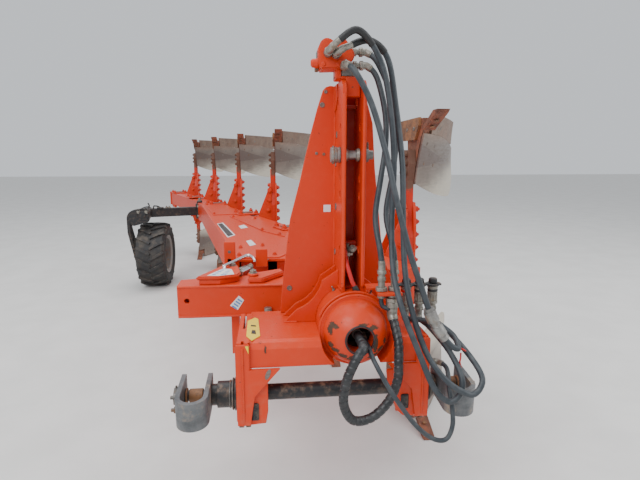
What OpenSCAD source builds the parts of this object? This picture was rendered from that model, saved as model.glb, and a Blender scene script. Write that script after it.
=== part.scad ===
// Mounted reversible moldboard plough, parked on its lower bodies and its depth wheel.
// Millimetres. +Y runs rearwards along the plough, +Z is up, and the floor is at z = 0.

/* [Layout] */
// Height of the turnover axis, which is also the middle plane of the beam
axis_z = 820; // [780:5:900]
// Number of body pairs
pairs = 6; // [4:1:6]
// Sideways step from one body pair to the next
step_x = 355; // [320:5:400]
// Lengthwise step from one body pair to the next
step_y = 900; // [850:10:1000]
// Sideways place of the first pair's legs, from the turnover axis
lead_x = 450; // [420:10:500]
// Lengthwise place of the first pair's legs, from the tower's front edge
lead_y = 880; // [860:10:1000]

/* [Bodies] */
// Sideways reach of a mouldboard
board_w = 400; // [340:10:420]
// Height of a mouldboard over the share's edge
board_h = 450; // [420:10:470]
// Thickness of the mouldboard plate
board_t = 9; // [7:0.5:12]
// Thickness of the share plate
share_t = 12; // [9:0.5:14]
// Width of the chisel point bar
point_w = 60; // [50:2:70]
// Length of the chisel point bar
point_len = 200; // [170:5:210]
// Thickness of the chisel point bar
point_t = 22; // [18:1:28]
// Length of the landside bar
landside_len = 520; // [400:10:560]
// Height of the landside bar
landside_h = 110; // [90:5:130]
// Thickness of the landside bar
landside_t = 14; // [10:1:18]
// Distance from the point's tip back to the leg's middle
leg_back = 380; // [370:5:400]
// Thickness of a leg, across the plough
leg_t = 32; // [26:2:44]
// Width of a leg where it meets the beam
leg_w = 170; // [140:5:190]

/* [Beam] */
// Width of the box section beam
beam_w = 160; // [140:5:180]
// Height of the box section beam
beam_h = 160; // [140:5:170]
// Sideways distance from the legs' line to the beam's middle
beam_off = 250; // [240:5:280]
// Thickness of the deck's plates
deck_t = 12; // [8:1:16]

/* [Headstock] */
// Sideways offset of the lower hitch's middle from the turnover axis
hitch_off = -105; // [-120:5:-90]
// Height of the lower hitch shaft
hitch_z = 600; // [560:5:640]
// Lengthwise place of the lower hitch shaft
hitch_y = -60; // [-90:5:-40]
// Distance between the middles of the two lower link pins
hitch_span = 915; // [890:5:960]
// Diameter of the lower link pins
link_pin_d = 36.6; // [28:0.1:37]
// Diameter of the hitch shaft between the cheeks
hitch_shaft_d = 56; // [50:1:62]
// Sideways offset of the cheeks' middle from the turnover axis
cheek_off = -82; // [-92:2:-72]
// Distance between the middles of the two cheeks
cheek_span = 626; // [600:2:640]
// Height of the cross member's middle over the hitch shaft
cross_up = 165; // [155:5:175]
// Outer half width of a link yoke
yoke_half = 54; // [52:1:60]
// Thickness of a link yoke's plate
yoke_t = 16; // [12:1:18]
// Height of a link yoke
yoke_h = 100; // [85:5:110]
// Height of the cross member
cross_h = 90; // [80:5:100]
// Outer radius of the turnover bearing housing
housing_r = 128; // [120:1:135]
// Radius of the hollow turnover shaft
shaft_r = 90; // [80:1:95]
// Running clearance of the turnover shaft, on radius
shaft_gap = 0.05; // [0.03:0.01:0.1]

/* [Tower] */
// Height of the tower's top over the floor
tower_top = 1690; // [1600:10:1760]
// Clear gap between the tower's side plates
tower_gap = 56; // [52:1:64]
// Thickness of the tower's side plates
tower_t = 14; // [10:1:18]
// Depth of the tower's side plates
tower_d = 200; // [190:5:205]
// Reach of a tower wing from the middle, at its foot
wing_foot = 250; // [220:5:260]
// Reach of a tower wing from the middle, at its top
wing_head = 80; // [70:2:100]
// Height of the top link pin over the floor
top_pin_z = 1434; // [1400:2:1460]
// Diameter of the top link pin
top_pin_d = 32; // [25:0.5:32]

/* [Depth wheel] */
// Tyre diameter over the lugs
tyre_d = 700; // [660:5:720]
// Tyre width
tyre_w = 310; // [280:5:320]
// Diameter of the rim's bead seat
rim_d = 390; // [370:5:410]
// Number of lugs on each side of the tyre
lugs = 18; // [14:1:20]
// Height of a lug
lug_h = 18; // [12:1:22]
// Sideways place of the wheel leg's pivot
pivot_x = -1620; // [-1660:5:-1600]
// Lengthwise place of the wheel leg's pivot boss, front face
pivot_y = 3600; // [3590:5:3620]
// Distance that the wheel's middle lies inboard of the pivot
wheel_in = 60; // [50:5:70]
// Distance that the wheel's axle trails behind the pivot boss's front face
wheel_back = 150; // [130:5:170]

/* [Hoses] */
// Outer diameter of a hose
hose_d = 20; // [16:1:24]
// Outer diameter of the spiral wrapped hose bundle
wrap_d = 32; // [28:1:36]

/* [Hidden] */
$fn = 48;

orange = [0.87, 0.16, 0.04];
steel = [0.55, 0.5, 0.45];
black = [0.13, 0.13, 0.14];
grey = [0.35, 0.35, 0.36];
rubber = [0.07, 0.07, 0.08];

// Gap left where two pieces of one body meet, and the smallest gap kept by moving pieces
seat = 0.3;
clear = 5;
big = 3000;

// Places that follow from the sizes above
beam_angle = atan(step_x / step_y);
step_len = sqrt(step_x * step_x + step_y * step_y);
wheel_x = pivot_x + wheel_in;
wheel_y = pivot_y + wheel_back;
wheel_z = tyre_d / 2;
housing_back = 210;
arm_front = 335;
arm_depth = 190;
carrier_h = 124;
crank_front = 297;
cross_z = hitch_z + cross_up;
cross_top = cross_z + cross_h / 2;
cross_front = -120;
cross_back = 210;
shin_y = 110;

// Seam between share and mouldboard
seam = function (x) 100 + 60 * pow(x / board_w, 3);

// Middle of the whole plough in plan: the origin is on the floor under it
side_x = wheel_x - tyre_w / 2 - 70;
right_edge = lead_x + leg_t / 2 + board_w;
front_edge = hitch_y - 158;
back_edge = lead_y + step_y * (pairs - 1) - leg_back + surface_y(board_w, seam(board_w)) + board_t / 2;
centre_x = (side_x + right_edge) / 2;
centre_y = (front_edge + back_edge) / 2;

module placed() {
    translate([-centre_x, -centre_y, 0]) children();
}

function leg_x(i) = lead_x - step_x * i;
function leg_y(i) = lead_y + step_y * i;

// Places its children at each lower body's point, or mirrored over the beam's middle plane
module at_lower() {
    placed() for (i = [0:pairs - 1])
        translate([leg_x(i) + leg_t / 2, leg_y(i) - leg_back, 0]) children();
}

module at_upper() {
    translate([0, 0, 2 * axis_z]) mirror([0, 0, 1]) at_lower() children();
}

// A plate standing in a plane of constant x, from an outline of [y, z] points
module plate_x(x, t, outline) {
    translate([x, 0, 0]) rotate([90, 0, 90]) linear_extrude(t) polygon(outline);
}

// A plate standing in a plane of constant y, from an outline of [x, z] points
module plate_y(y, t, outline) {
    translate([0, y + t, 0]) rotate([90, 0, 0]) linear_extrude(t) polygon(outline);
}

// A round bar along x or y, from a start point
module bar_x(at, len, d) {
    translate(at) rotate([0, 90, 0]) cylinder(h = len, d = d);
}

module bar_y(at, len, d) {
    translate(at) rotate([-90, 0, 0]) cylinder(h = len, d = d);
}

function arc(cx, cy, r, a0, a1, n) = [for (k = [0:n]) [cx + r * cos(a0 + (a1 - a0) * k / n), cy + r * sin(a0 + (a1 - a0) * k / n)]];

// Working surface of a body: y as a function of x and z, over-vertical at the tail
function surface_y(x, z) =
    shin_y + 0.9 * z - 0.0009 * z * z
    + x * (1.35 - 0.7 * z / board_h)
    + x * x * (0.0011 + 0.0001 * z / board_h);

function slope_x(x, z) = surface_y(x + 0.5, z) - surface_y(x - 0.5, z);
function slope_z(x, z) = surface_y(x, z + 0.5) - surface_y(x, z - 0.5);
function unit(v) = v / norm(v);
function surface_at(x, z, off) = [x, surface_y(x, z), z] + off * unit([-slope_x(x, z), 1, -slope_z(x, z)]);

// A curved plate on the working surface between two heights, from off0 to off1 behind it
module curved_plate(x0, x1, nx, nz, off0, off1, low, high) {
    points = [for (off = [off0, off1]) for (i = [0:nx]) for (j = [0:nz])
        let (x = x0 + (x1 - x0) * i / nx, z = low(x) + (high(x) - low(x)) * j / nz) surface_at(x, z, off)];
    row = nz + 1;
    back = (nx + 1) * row;
    faces = [
        for (i = [0:nx - 1]) for (j = [0:nz - 1]) each let (a = i * row + j) [
            [a, a + row, a + row + 1],
            [a, a + row + 1, a + 1],
            [back + a, back + a + row + 1, back + a + row],
            [back + a, back + a + 1, back + a + row + 1]
        ],
        for (i = [0:nx - 1]) each let (a = i * row, b = a + nz) [
            [a, back + a, back + a + row],
            [a, back + a + row, a + row],
            [b, b + row, back + b + row],
            [b, back + b + row, back + b]
        ],
        for (j = [0:nz - 1]) each let (a = j, b = nx * row + j) [
            [a, a + 1, back + a + 1],
            [a, back + a + 1, back + a],
            [b, back + b, back + b + 1],
            [b, back + b + 1, b + 1]
        ]
    ];
    polyhedron(points, [for (f = faces) [f[0], f[2], f[1]]], convexity = 6);
}

// Edges of the mouldboard and of the share
board_low = function (x) seam(x) + seat;
board_high = function (x) board_h - 100 * pow(1 - min(1, 1.25 * x / board_w), 1.6) - 120 * pow(max(0, x / board_w - 0.78) / 0.22, 2);
share_low = function (x) share_t * 0.5 + 1;
share_high = function (x) seam(x) - seat - 30 * pow(max(0, x / board_w - 0.85) / 0.15, 2);

module board() {
    curved_plate(board_t + 1, board_w, 12, 7, 0, board_t, board_low, board_high);
}

module share() {
    curved_plate(point_w + share_t + 1, board_w * 0.95, 7, 1, 0, share_t, share_low, share_high);
}

// Chisel point: a bar pitched down to its tip, with a ground edge
module point_bar() {
    rise = 0.42;
    plate_x(0, point_w, [
        [0, 0], [point_len * 0.3, 0], [point_len, (point_len - 50) * rise],
        [point_len, (point_len - 50) * rise + point_t], [point_t, point_t * 0.7]
    ]);
}

module landside() {
    plate_x(-landside_t - seat, landside_t, [
        [230, 20], [230 + landside_len, 20], [230 + landside_len, 20 + landside_h * 0.8],
        [200 + landside_len, 20 + landside_h], [290, 20 + landside_h], [230, 60]
    ]);
}

// Frog: a web beside the leg and curved pads behind the share and the mouldboard
module frog() {
    pad_x = 170;
    pad_t = 22;
    share_back = share_t + 2 * seat;
    board_back = board_t + 2 * seat;
    seat_z = seam(pad_x) + 5;
    union() {
        curved_plate(40, pad_x, 6, 3, share_back, share_back + pad_t, function (x) 45, function (x) seat_z + 15);
        curved_plate(40, pad_x, 6, 8, board_back, board_back + pad_t, function (x) seat_z, function (x) 310);
        difference() {
            plate_x(seat, 30, [
                [point_len + seat, 25], [470, 25], [470, 80], [440, 300], [410, 360], [330, 360], [point_len + seat, 120]
            ]);
            curved_plate(-20, 60, 2, 5, -400, share_back, function (x) 0, function (x) 440);
        }
    }
}

// Leg: a deep plate from the beam down to the frog
module leg() {
    top = axis_z - 2;
    f = leg_back - leg_w / 2;
    b = leg_back + leg_w / 2;
    plate_x(-leg_t, leg_t, [
        [f, top], [f, 640], [f + 30, 540], [f + 32, 340], [f, 250], [f + 20, 180],
        [b - 15, 180], [b - 5, 240], [b - 35, 340], [b - 35, 540], [b, 630], [b, top]
    ]);
}

// Bracket: a block from the beam to both legs of a pair, with a gusset plate in front and behind
module leg_bracket() {
    inner = -beam_off;
    difference() {
        union() {
            translate([inner, -60, axis_z - beam_h / 2 + 5]) cube([beam_off - leg_t / 2, 120, beam_h - 10]);
            for (y = [-72, 60]) plate_y(y, 12, [
                [inner, axis_z - 75], [-leg_t / 2 - 120, axis_z - 80], [-leg_t / 2 - 18, axis_z - 330],
                [-leg_t / 2, axis_z - 330], [-leg_t / 2, axis_z + 330], [-leg_t / 2 - 18, axis_z + 330],
                [-leg_t / 2 - 120, axis_z + 80], [inner, axis_z + 75]
            ]);
        }
        translate([-beam_off, 0, axis_z]) rotate([0, 0, beam_angle])
            translate([-beam_w * 1.5, -big / 2, -big / 2]) cube([beam_w * 2 + seat, big, big]);
    }
}

// The beam's volume, grown by a gap
module beam_space(gap) {
    front = step_len * 0.42;
    len = step_len * (pairs - 1) + front + 170;
    translate([lead_x - beam_off, lead_y, axis_z]) rotate([0, 0, beam_angle])
        translate([-beam_w / 2 - gap, -front, -beam_h / 2 - gap])
            cube([beam_w + 2 * gap, len, beam_h + 2 * gap]);
}

// Outline of the deck in plan, left of the beam
deck_front = 740;
deck_end = 3760;
function beam_mid_x(y) = lead_x - beam_off - (y - lead_y) * step_x / step_y;
deck_outline = [[-470, deck_front], [-585, 1400], [-1010, 3500], [-1085, deck_end],
    [beam_mid_x(deck_end), deck_end], [beam_mid_x(deck_front), deck_front]];

module main_beam() {
    color(orange) placed() beam_space(0);
}

module deck() {
    half = beam_h / 2 + deck_t;
    color(orange) placed() difference() {
        translate([0, 0, axis_z - half]) linear_extrude(2 * half) polygon(deck_outline);
        beam_space(seat);
        translate([0, 0, axis_z - half + deck_t]) linear_extrude(2 * half - 2 * deck_t)
            polygon([[-450, deck_front - 10], [-570, 1400], [-985, 3480],
                [beam_mid_x(3480), 3480], [beam_mid_x(deck_front - 10), deck_front - 10]]);
    }
}

// Bearing housing: a drum round the turnover shaft with a domed front and a hose hole
module bearing_housing() {
    color(orange) placed() translate([0, 0, axis_z]) rotate([-90, 0, 0]) difference() {
        union() {
            translate([0, 0, -60]) cylinder(h = housing_back + 60, r = housing_r);
            translate([0, 0, -60]) intersection() {
                sphere(r = housing_r - 14, $fn = 64);
                translate([0, 0, -housing_r]) cylinder(h = housing_r + 2, r = housing_r);
            }
        }
        translate([0, 0, -100]) cylinder(h = big / 6, r = shaft_r + shaft_gap);
        translate([0, 0, -housing_r * 2]) cylinder(h = 300, r = 46);
    }
}

// Cross member: the box under the housing that carries the cheeks and the tower
module cross_member() {
    x0 = cheek_off - cheek_span / 2 + 20;
    x1 = cheek_off + cheek_span / 2 - 20;
    color(orange) placed() difference() {
        plate_x(x0, x1 - x0, [
            [cross_front, cross_z - cross_h / 2], [cross_front, cross_top - 25], [cross_front + 12, cross_top - 6],
            [cross_front + 30, cross_top], [cross_back, cross_top], [cross_back, cross_z - cross_h / 2 + 20],
            [cross_back - 40, cross_z - cross_h / 2]
        ]);
        bar_y([0, -big / 2, axis_z], big, (housing_r + seat) * 2);
    }
}

// Cheek: a channel shaped plate pair from the cross member down past the hitch shaft
module cheek(side) {
    x = cheek_off + side * cheek_span / 2;
    low = hitch_z - 125;
    color(orange) placed() difference() {
        union() {
            plate_x(x - 20, 16, concat(
                [[cross_front, cross_top], [cross_back - 20, cross_top], [cross_back - 40, cross_z - 80], [20, hitch_z - 40]],
                arc(hitch_y, low + 55, 55, -20, -160, 8), [[cross_front, hitch_z - 20]]));
            plate_x(x + 4, 16, concat(
                [[cross_front, cross_top], [cross_back - 20, cross_top], [cross_back - 40, cross_z - 80], [20, hitch_z - 40]],
                arc(hitch_y, low + 55, 55, -20, -160, 8), [[cross_front, hitch_z - 20]]));
            plate_y(cross_front - 12, 12, [
                [x + side * 22, cross_top - 4], [x - side * 22, cross_top - 4], [x - side * 22, cross_z - cross_h / 2 - 3],
                [x - side * 125, cross_z - cross_h / 2 - 3], [x - side * 38, cross_z - cross_h / 2 - 100],
                [x - side * 22, low + 40], [x + side * 22, low + 40]
            ]);
            translate([x - 20, cross_front + 20, cross_top - 30]) cube([40, 120, 30]);
            translate([x - 20, 30, cross_z - 60]) cube([40, 60, 40]);
        }
        bar_x([x - 100, hitch_y, hitch_z], 200, hitch_shaft_d + 2 * seat);
        translate([x + (side < 0 ? 20 - seat : -220 + seat), cross_front, cross_z - cross_h / 2 - seat])
            cube([200, big, cross_h + 2 * seat]);
    }
}

module cheek_left() {
    cheek(-1);
}

module cheek_right() {
    cheek(1);
}

// Saddle: two curved gusset plates that tie the cross member, the housing and the tower
module saddle() {
    x0 = cheek_off - cheek_span / 2 + 145;
    x1 = cheek_off + cheek_span / 2 - 50;
    foot = cross_top + seat;
    color(orange) placed() for (y = [70, 150]) difference() {
        plate_y(y, 14, concat([[x0, foot]], arc(x0, foot + 190, 150, -70, -12, 6),
            [[-tower_gap / 2 - tower_t - seat, 1010], [tower_gap / 2 + tower_t + seat, 1010]],
            arc(x1, foot + 180, 130, -160, -100, 6), [[x1, foot]]));
        bar_y([0, -big / 2, axis_z], big, (housing_r + seat) * 2);
        translate([-tower_gap / 2 - tower_t - seat, -big / 2, 0])
            cube([tower_gap + 2 * tower_t + 2 * seat, big, big]);
    }
}

// Tower side plate: a tapered plate with its top rounded and a row of hitch holes
module tower_side(side) {
    x = side > 0 ? tower_gap / 2 : -tower_gap / 2 - tower_t;
    holes = [[1530, 15], [1350, 15], [1290, 20], [1090, 16]];
    color(orange) placed() difference() {
        plate_x(x, tower_t, concat([[0, axis_z]], arc(45, tower_top - 45, 45, 180, 90, 6),
            arc(tower_d - 80, tower_top - 60, 60, 90, 10, 6), [[tower_d, 1300], [tower_d, axis_z]]));
        bar_y([0, -big / 2, axis_z], big, (housing_r + seat) * 2);
        for (h = holes) bar_x([x - 10, 50, h[0]], 40, 2 * h[1]);
        bar_x([x - 10, 50, top_pin_z], 40, top_pin_d + 0.4);
        bar_x([x - 10, 110, tower_top - 70], 40, 22);
    }
}

module tower_left() {
    tower_side(-1);
}

module tower_right() {
    tower_side(1);
}

// Tower wings: sloping plates that spread the tower's foot over the cross member
module tower_wings() {
    edge = tower_gap / 2 + tower_t + seat;
    color(orange) placed() for (side = [-1, 1]) difference() {
        union() {
            plate_y(tower_d - 14, 12, [
                [side * edge, cross_top + seat], [side * wing_foot, cross_top + seat],
                [side * wing_foot, cross_top + 60], [side * wing_head, tower_top - 60],
                [side * (wing_head - 12), tower_top - 25], [side * edge, tower_top - 10]
            ]);
        }
        bar_y([0, -big / 2, axis_z], big, (housing_r + seat) * 2);
    }
}

// Top link pin with its head and a collar on each side
module top_link_pin() {
    half = tower_gap / 2 + tower_t;
    color(grey) placed() {
        bar_x([-half - 34, 50, top_pin_z], 2 * half + 68, top_pin_d);
        bar_x([-half - 34, 50, top_pin_z], 34 - seat, top_pin_d + 22);
        bar_x([half + seat, 50, top_pin_z], 16, top_pin_d + 18);
    }
}

// Hitch shaft: a black bar through both cheeks, stepped down to a link pin at each end
module hitch_shaft() {
    shaft_half = hitch_span / 2 - yoke_half - seat;
    pin_half = hitch_span / 2 + yoke_half + 22;
    cheek_half = cheek_span / 2 + 20 + seat;
    // the nearer yoke leaves room for the flange, the step and the neck; their widths share it out
    room = shaft_half - cheek_half - abs(hitch_off - cheek_off);
    flange = room * 12 / 46.9;
    neck = room * 20 / 46.9;
    color(black) placed() {
        collar(hitch_off - shaft_half, hitch_off + shaft_half, hitch_shaft_d);
        collar(hitch_off - pin_half, hitch_off + pin_half, link_pin_d);
        for (s = [-1, 1]) {
            cheek_out = cheek_off + s * cheek_half;
            yoke_in = hitch_off + s * shaft_half;
            collar(cheek_out, cheek_out + s * flange, 116);
            collar(cheek_out + s * flange, yoke_in - s * neck, 92);
            collar(yoke_in - s * neck, yoke_in, 74);
            collar(hitch_off + s * (pin_half - 14), hitch_off + s * pin_half, 56);
        }
    }
}

module collar(x0, x1, d) {
    bar_x([min(x0, x1), hitch_y, hitch_z], abs(x1 - x0), d);
}

// Link yokes: thick plate bent to a U round each link pin, its closed end forwards
module link_yokes() {
    reach = 100;
    inner = yoke_half - yoke_t;
    color(grey) placed() for (s = [-1, 1]) translate([hitch_off + s * hitch_span / 2, hitch_y, hitch_z])
        rotate([4, 0, 0]) difference() {
            translate([0, 0, 10 - yoke_h / 2]) linear_extrude(yoke_h) difference() {
                union() {
                    translate([0, -reach]) circle(r = yoke_half);
                    translate([-yoke_half, -reach]) square([2 * yoke_half, reach + 45]);
                }
                translate([0, -reach]) circle(r = inner);
                translate([-inner, -reach]) square([2 * inner, reach + 60]);
            }
            bar_x([-100, 0, 0], 200, link_pin_d + 2 * seat);
        }
}

// Hose block: a lobed cast block on a neck at the tower's top, with hose unions
module hose_block() {
    x = -60;
    y = 70;
    z = tower_top + 75;
    color(orange) placed() {
        translate([-tower_gap / 2 + 1, y - 35, tower_top - 60]) cube([tower_gap - 2, 70, 75]);
        translate([x - 10, y - 30, tower_top + 4]) cube([90, 60, 30]);
        translate([x - 62, y - 46, z - 48]) cube([112, 92, 88]);
        for (k = [-1, 1]) bar_y([x - 8 + k * 26, y - 40, z + 40], 80, 44);
        bar_x([x + 30, y, z + 5], 34, 76);
        bar_x([x - 84, y - 20, z - 22], 30, 34);
        bar_y([x - 30, y - 70, z + 8], 30, 22);
        bar_y([x - 2, y - 70, z + 4], 30, 22);
        bar_y([x + 26, y - 70, z - 34], 30, 22);
        bar_x([x + 40, y + 10, z + 24], 46, 20);
        bar_x([x + 40, y - 5, z - 24], 46, 20);
    }
}

// Hose rack: a bracket right of the tower that holds the hose unions and couplers
rack_z = 960;
union_x = [85, 130];
union_y = -90;
coupler_x = [200, 250, 300];
hose_tap = [cheek_off + cheek_span / 2 + 20, -90, 700];

module hose_rack() {
    inner = tower_gap / 2 + tower_t + seat;
    color(orange) placed() translate([0, 0, rack_z]) linear_extrude(10)
        polygon([[inner, 12], [inner, -40], [95, -40], [70, -62], [66, -125], [152, -125], [160, -12], [330, -12], [330, 12]]);
}

// Unions and quick couplers on the rack, one for each hose end
module couplers() {
    color(grey) placed() {
        for (x = union_x) translate([x, union_y, rack_z + 10 + seat]) {
            cylinder(h = 60, d = 30, $fn = 24);
            cylinder(h = 14, d = 42, $fn = 24);
        }
        translate([125, union_y, rack_z - 50]) cylinder(h = 50 - seat, d = 46, $fn = 24);
        for (x = coupler_x) translate([x, 0, rack_z - 80]) cylinder(h = 80 - seat, d = 40, $fn = 24);
        bar_x(hose_tap + [seat, 0, 0], 25, 22);
    }
}

// Turnover cylinder behind the tower: its barrel, gland and clevis on the tower
crank_r = 160;
ram_y = 260;
ram_top = 1500;
ram_angle = atan(crank_r / (ram_top - axis_z));

module along_ram() {
    translate([0, ram_y, ram_top]) rotate([0, -ram_angle, 0]) rotate([180, 0, 0]) children();
}

module turnover_barrel() {
    color(orange) placed() difference() {
        union() {
            along_ram() translate([0, 0, 30]) cylinder(h = 380, d = 56);
            along_ram() translate([0, 0, 395]) cylinder(h = 22, d = 60);
            bar_y([0, tower_d - 2 + seat, ram_top], ram_y + 26 - tower_d + 2, 74);
            bar_x([-46, tower_d + 14, ram_top], 92, 28);
        }
        along_ram() translate([0, 0, 120]) cylinder(h = 400, d = 30.1);
    }
}

module turnover_rod() {
    len = sqrt(pow(ram_top - axis_z, 2) + crank_r * crank_r);
    color([0.75, 0.75, 0.77]) placed() {
        along_ram() translate([0, 0, 330]) cylinder(h = len - 360, d = 30);
        bar_y([crank_r, ram_y - 22, axis_z], 44, 66);
        bar_y([crank_r, ram_y - 30, axis_z], crank_front - seat - ram_y + 30, 30);
    }
}

// Turnover shaft: hollow, with the crank disc that the cylinder turns
module turnover_shaft() {
    color(grey) placed() difference() {
        union() {
            bar_y([0, -40, axis_z], arm_front + 40, 2 * shaft_r);
            bar_y([0, crank_front, axis_z], arm_front - crank_front, 2 * crank_r + 70);
        }
        bar_y([0, -big / 4, axis_z], big / 2, 104);
    }
}

// Cross arm: the box that turns with the shaft and reaches out over the land side
module cross_arm() {
    z0 = axis_z - 70;
    color(orange) placed() difference() {
        union() {
            translate([0, 0, z0]) linear_extrude(140) polygon(concat(
                [[-690, arm_front + 5], [-640, arm_front]], arc(-190, arm_front + 73, 72, -95, -40, 5),
                [[200, arm_front], [200, arm_front + arm_depth], [-180, arm_front + arm_depth], [-560, arm_front + 140], [-690, arm_front + 110]]));
            bar_y([0, arm_front, axis_z], arm_depth, 2 * housing_r);
        }
        translate([-760, arm_front + 25, z0 + 45]) cube([120, 70, 50]);
        bar_y([-650, arm_front - 20, axis_z + 5], 300, 22);
        bar_y([0, -big / 4, axis_z], big, 104);
    }
}

// Carrier: the box that ties the cross arm to the deck and the front of the beam
module carrier() {
    y0 = arm_front + arm_depth + seat;
    color(orange) placed() difference() {
        translate([0, 0, axis_z - carrier_h / 2]) linear_extrude(carrier_h)
            polygon([[-150, y0], [190, y0], [beam_mid_x(y0 + 30), y0 + 30], [beam_mid_x(1150), 1150], [-150, 1150]]);
        beam_space(seat);
    }
}

// Turnbuckles: two threaded adjusters between the cross arm and the deck
module turnbuckles() {
    near = [-560, arm_front + 170.6, 0];
    far = [-380, deck_front + 60, 0];
    color(grey) placed() {
        for (z = [axis_z - 46, axis_z + 46]) translate([0, 0, z]) {
            hull() {
                translate(near) sphere(d = 34, $fn = 20);
                translate(far) sphere(d = 34, $fn = 20);
            }
            translate(near - [0, 0, 22]) cylinder(h = 44, d = 60);
            translate(far - [0, 0, 22]) cylinder(h = 44, d = 60);
        }
        translate(far + [0, 0, axis_z - beam_h / 2 + seat]) cylinder(h = beam_h - 2 * seat, d = 30);
        translate(near + [0, 0, axis_z - 90]) cylinder(h = 180, d = 30);
    }
}

// Beam end: the plate and lug that close the beam at the rear
module beam_end() {
    color(orange) placed() translate([lead_x - beam_off, lead_y, axis_z]) rotate([0, 0, beam_angle])
        translate([0, step_len * (pairs - 1) + 170 + seat, 0]) {
            translate([-beam_w / 2 - 12, 0, -beam_h / 2 - 12]) cube([beam_w + 24, 14, beam_h + 24]);
            for (z = [-40, 24]) translate([-50, 14, z]) cube([100, 70, 16]);
        }
}

module leg_brackets() {
    color(orange) placed() for (i = [0:pairs - 1]) translate([leg_x(i), leg_y(i), 0]) leg_bracket();
}

module legs_lower() {
    color(orange) at_lower() leg();
}

module legs_upper() {
    color(orange) at_upper() leg();
}

module frogs_lower() {
    color(orange) at_lower() frog();
}

module frogs_upper() {
    color(orange) at_upper() frog();
}

module boards_lower() {
    color(steel) at_lower() board();
}

module boards_upper() {
    color(steel) at_upper() board();
}

module shares_lower() {
    color(steel) at_lower() share();
}

module shares_upper() {
    color(steel) at_upper() share();
}

module points_lower() {
    color(steel) at_lower() point_bar();
}

module points_upper() {
    color(steel) at_upper() point_bar();
}

module landsides_lower() {
    color(steel) at_lower() landside();
}

module landsides_upper() {
    color(steel) at_upper() landside();
}

// Wheel arm: a square tube from the deck's rear corner out to the pivot boss
arm_h = 90;
boss_len = 120;
boss_d = 130;
pin_d = 50;

module wheel_arm() {
    color(black) placed() difference() {
        union() {
            translate([0, 0, axis_z - arm_h / 2]) linear_extrude(arm_h) polygon([
                [pivot_x + 20, pivot_y + 10], [pivot_x + 20, pivot_y + 100], [-1060, deck_end + 95], [-1060, deck_end + 14]
            ]);
            translate([-1090, deck_end + seat, axis_z - 85]) cube([190, 90, 170]);
            bar_y([pivot_x, pivot_y, axis_z], boss_len, boss_d);
        }
        bar_y([pivot_x, pivot_y - 10, axis_z], boss_len + 20, pin_d + 0.1);
        beam_space(seat);
    }
}

// Wheel leg: a head plate on the pivot pin, and a curved side plate down to the axle
module wheel_leg() {
    front = pivot_y - clear - 90;
    color(black) placed() union() {
        bar_y([pivot_x, front + 10, axis_z], boss_len + 110, pin_d);
        bar_y([pivot_x, pivot_y + boss_len + clear, axis_z], 22, 80);
        plate_y(front, 90, concat(
            arc(pivot_x, axis_z, 75, 60, -40, 8), [[pivot_x + 40, axis_z - 85]],
            arc(side_x + 75, axis_z - 75, 45, -90, -180, 4), [[side_x + 30, axis_z - 170], [side_x, axis_z - 170]],
            arc(side_x + 95, axis_z - 45, 95, 180, 100, 6)));
        plate_x(side_x, 30, concat(
            [[front, axis_z - 60], [front, axis_z - 190]], arc(wheel_y, wheel_z, 62, 200, 400, 12),
            [[front + 90, axis_z - 150], [front + 90, axis_z - 60]]));
    }
}

// Wheel axle: the stub that the hub turns on
module wheel_axle() {
    color(grey) placed() {
        bar_x([wheel_x - tyre_w / 2 - 40 + seat, wheel_y, wheel_z], 40 + tyre_w / 2 + 70, 45);
        bar_x([wheel_x - tyre_w / 2 - 40 + seat, wheel_y, wheel_z], 20, 90);
    }
}

module wheel_hub() {
    color(black) placed() difference() {
        union() {
            bar_x([wheel_x - 90, wheel_y, wheel_z], 170, 96);
            bar_x([wheel_x - 60, wheel_y, wheel_z], 16, 200);
        }
        bar_x([wheel_x - 200, wheel_y, wheel_z], 400, 45.1);
    }
}

// Rim: a dished disc with a bead seat and a turned up flange on each side
module rim() {
    r = rim_d / 2;
    w = tyre_w * 0.442;
    color(grey) placed() translate([wheel_x, wheel_y, wheel_z]) rotate([0, 90, 0]) difference() {
        rotate_extrude($fn = 64) polygon([
            [60, -44 + seat], [r - 40, -44 + seat], [r - 20, -w + 14], [r + 14, -w], [r + 14, -w + 8], [r, -w + 12],
            [r, w - 12], [r + 14, w - 8], [r + 14, w], [r - 20, w - 14], [r - 28, -34], [60, -34]
        ]);
        for (k = [0:5]) rotate([0, 0, 60 * k]) translate([80, 0, -60]) cylinder(h = 40, d = 18);
    }
}

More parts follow.
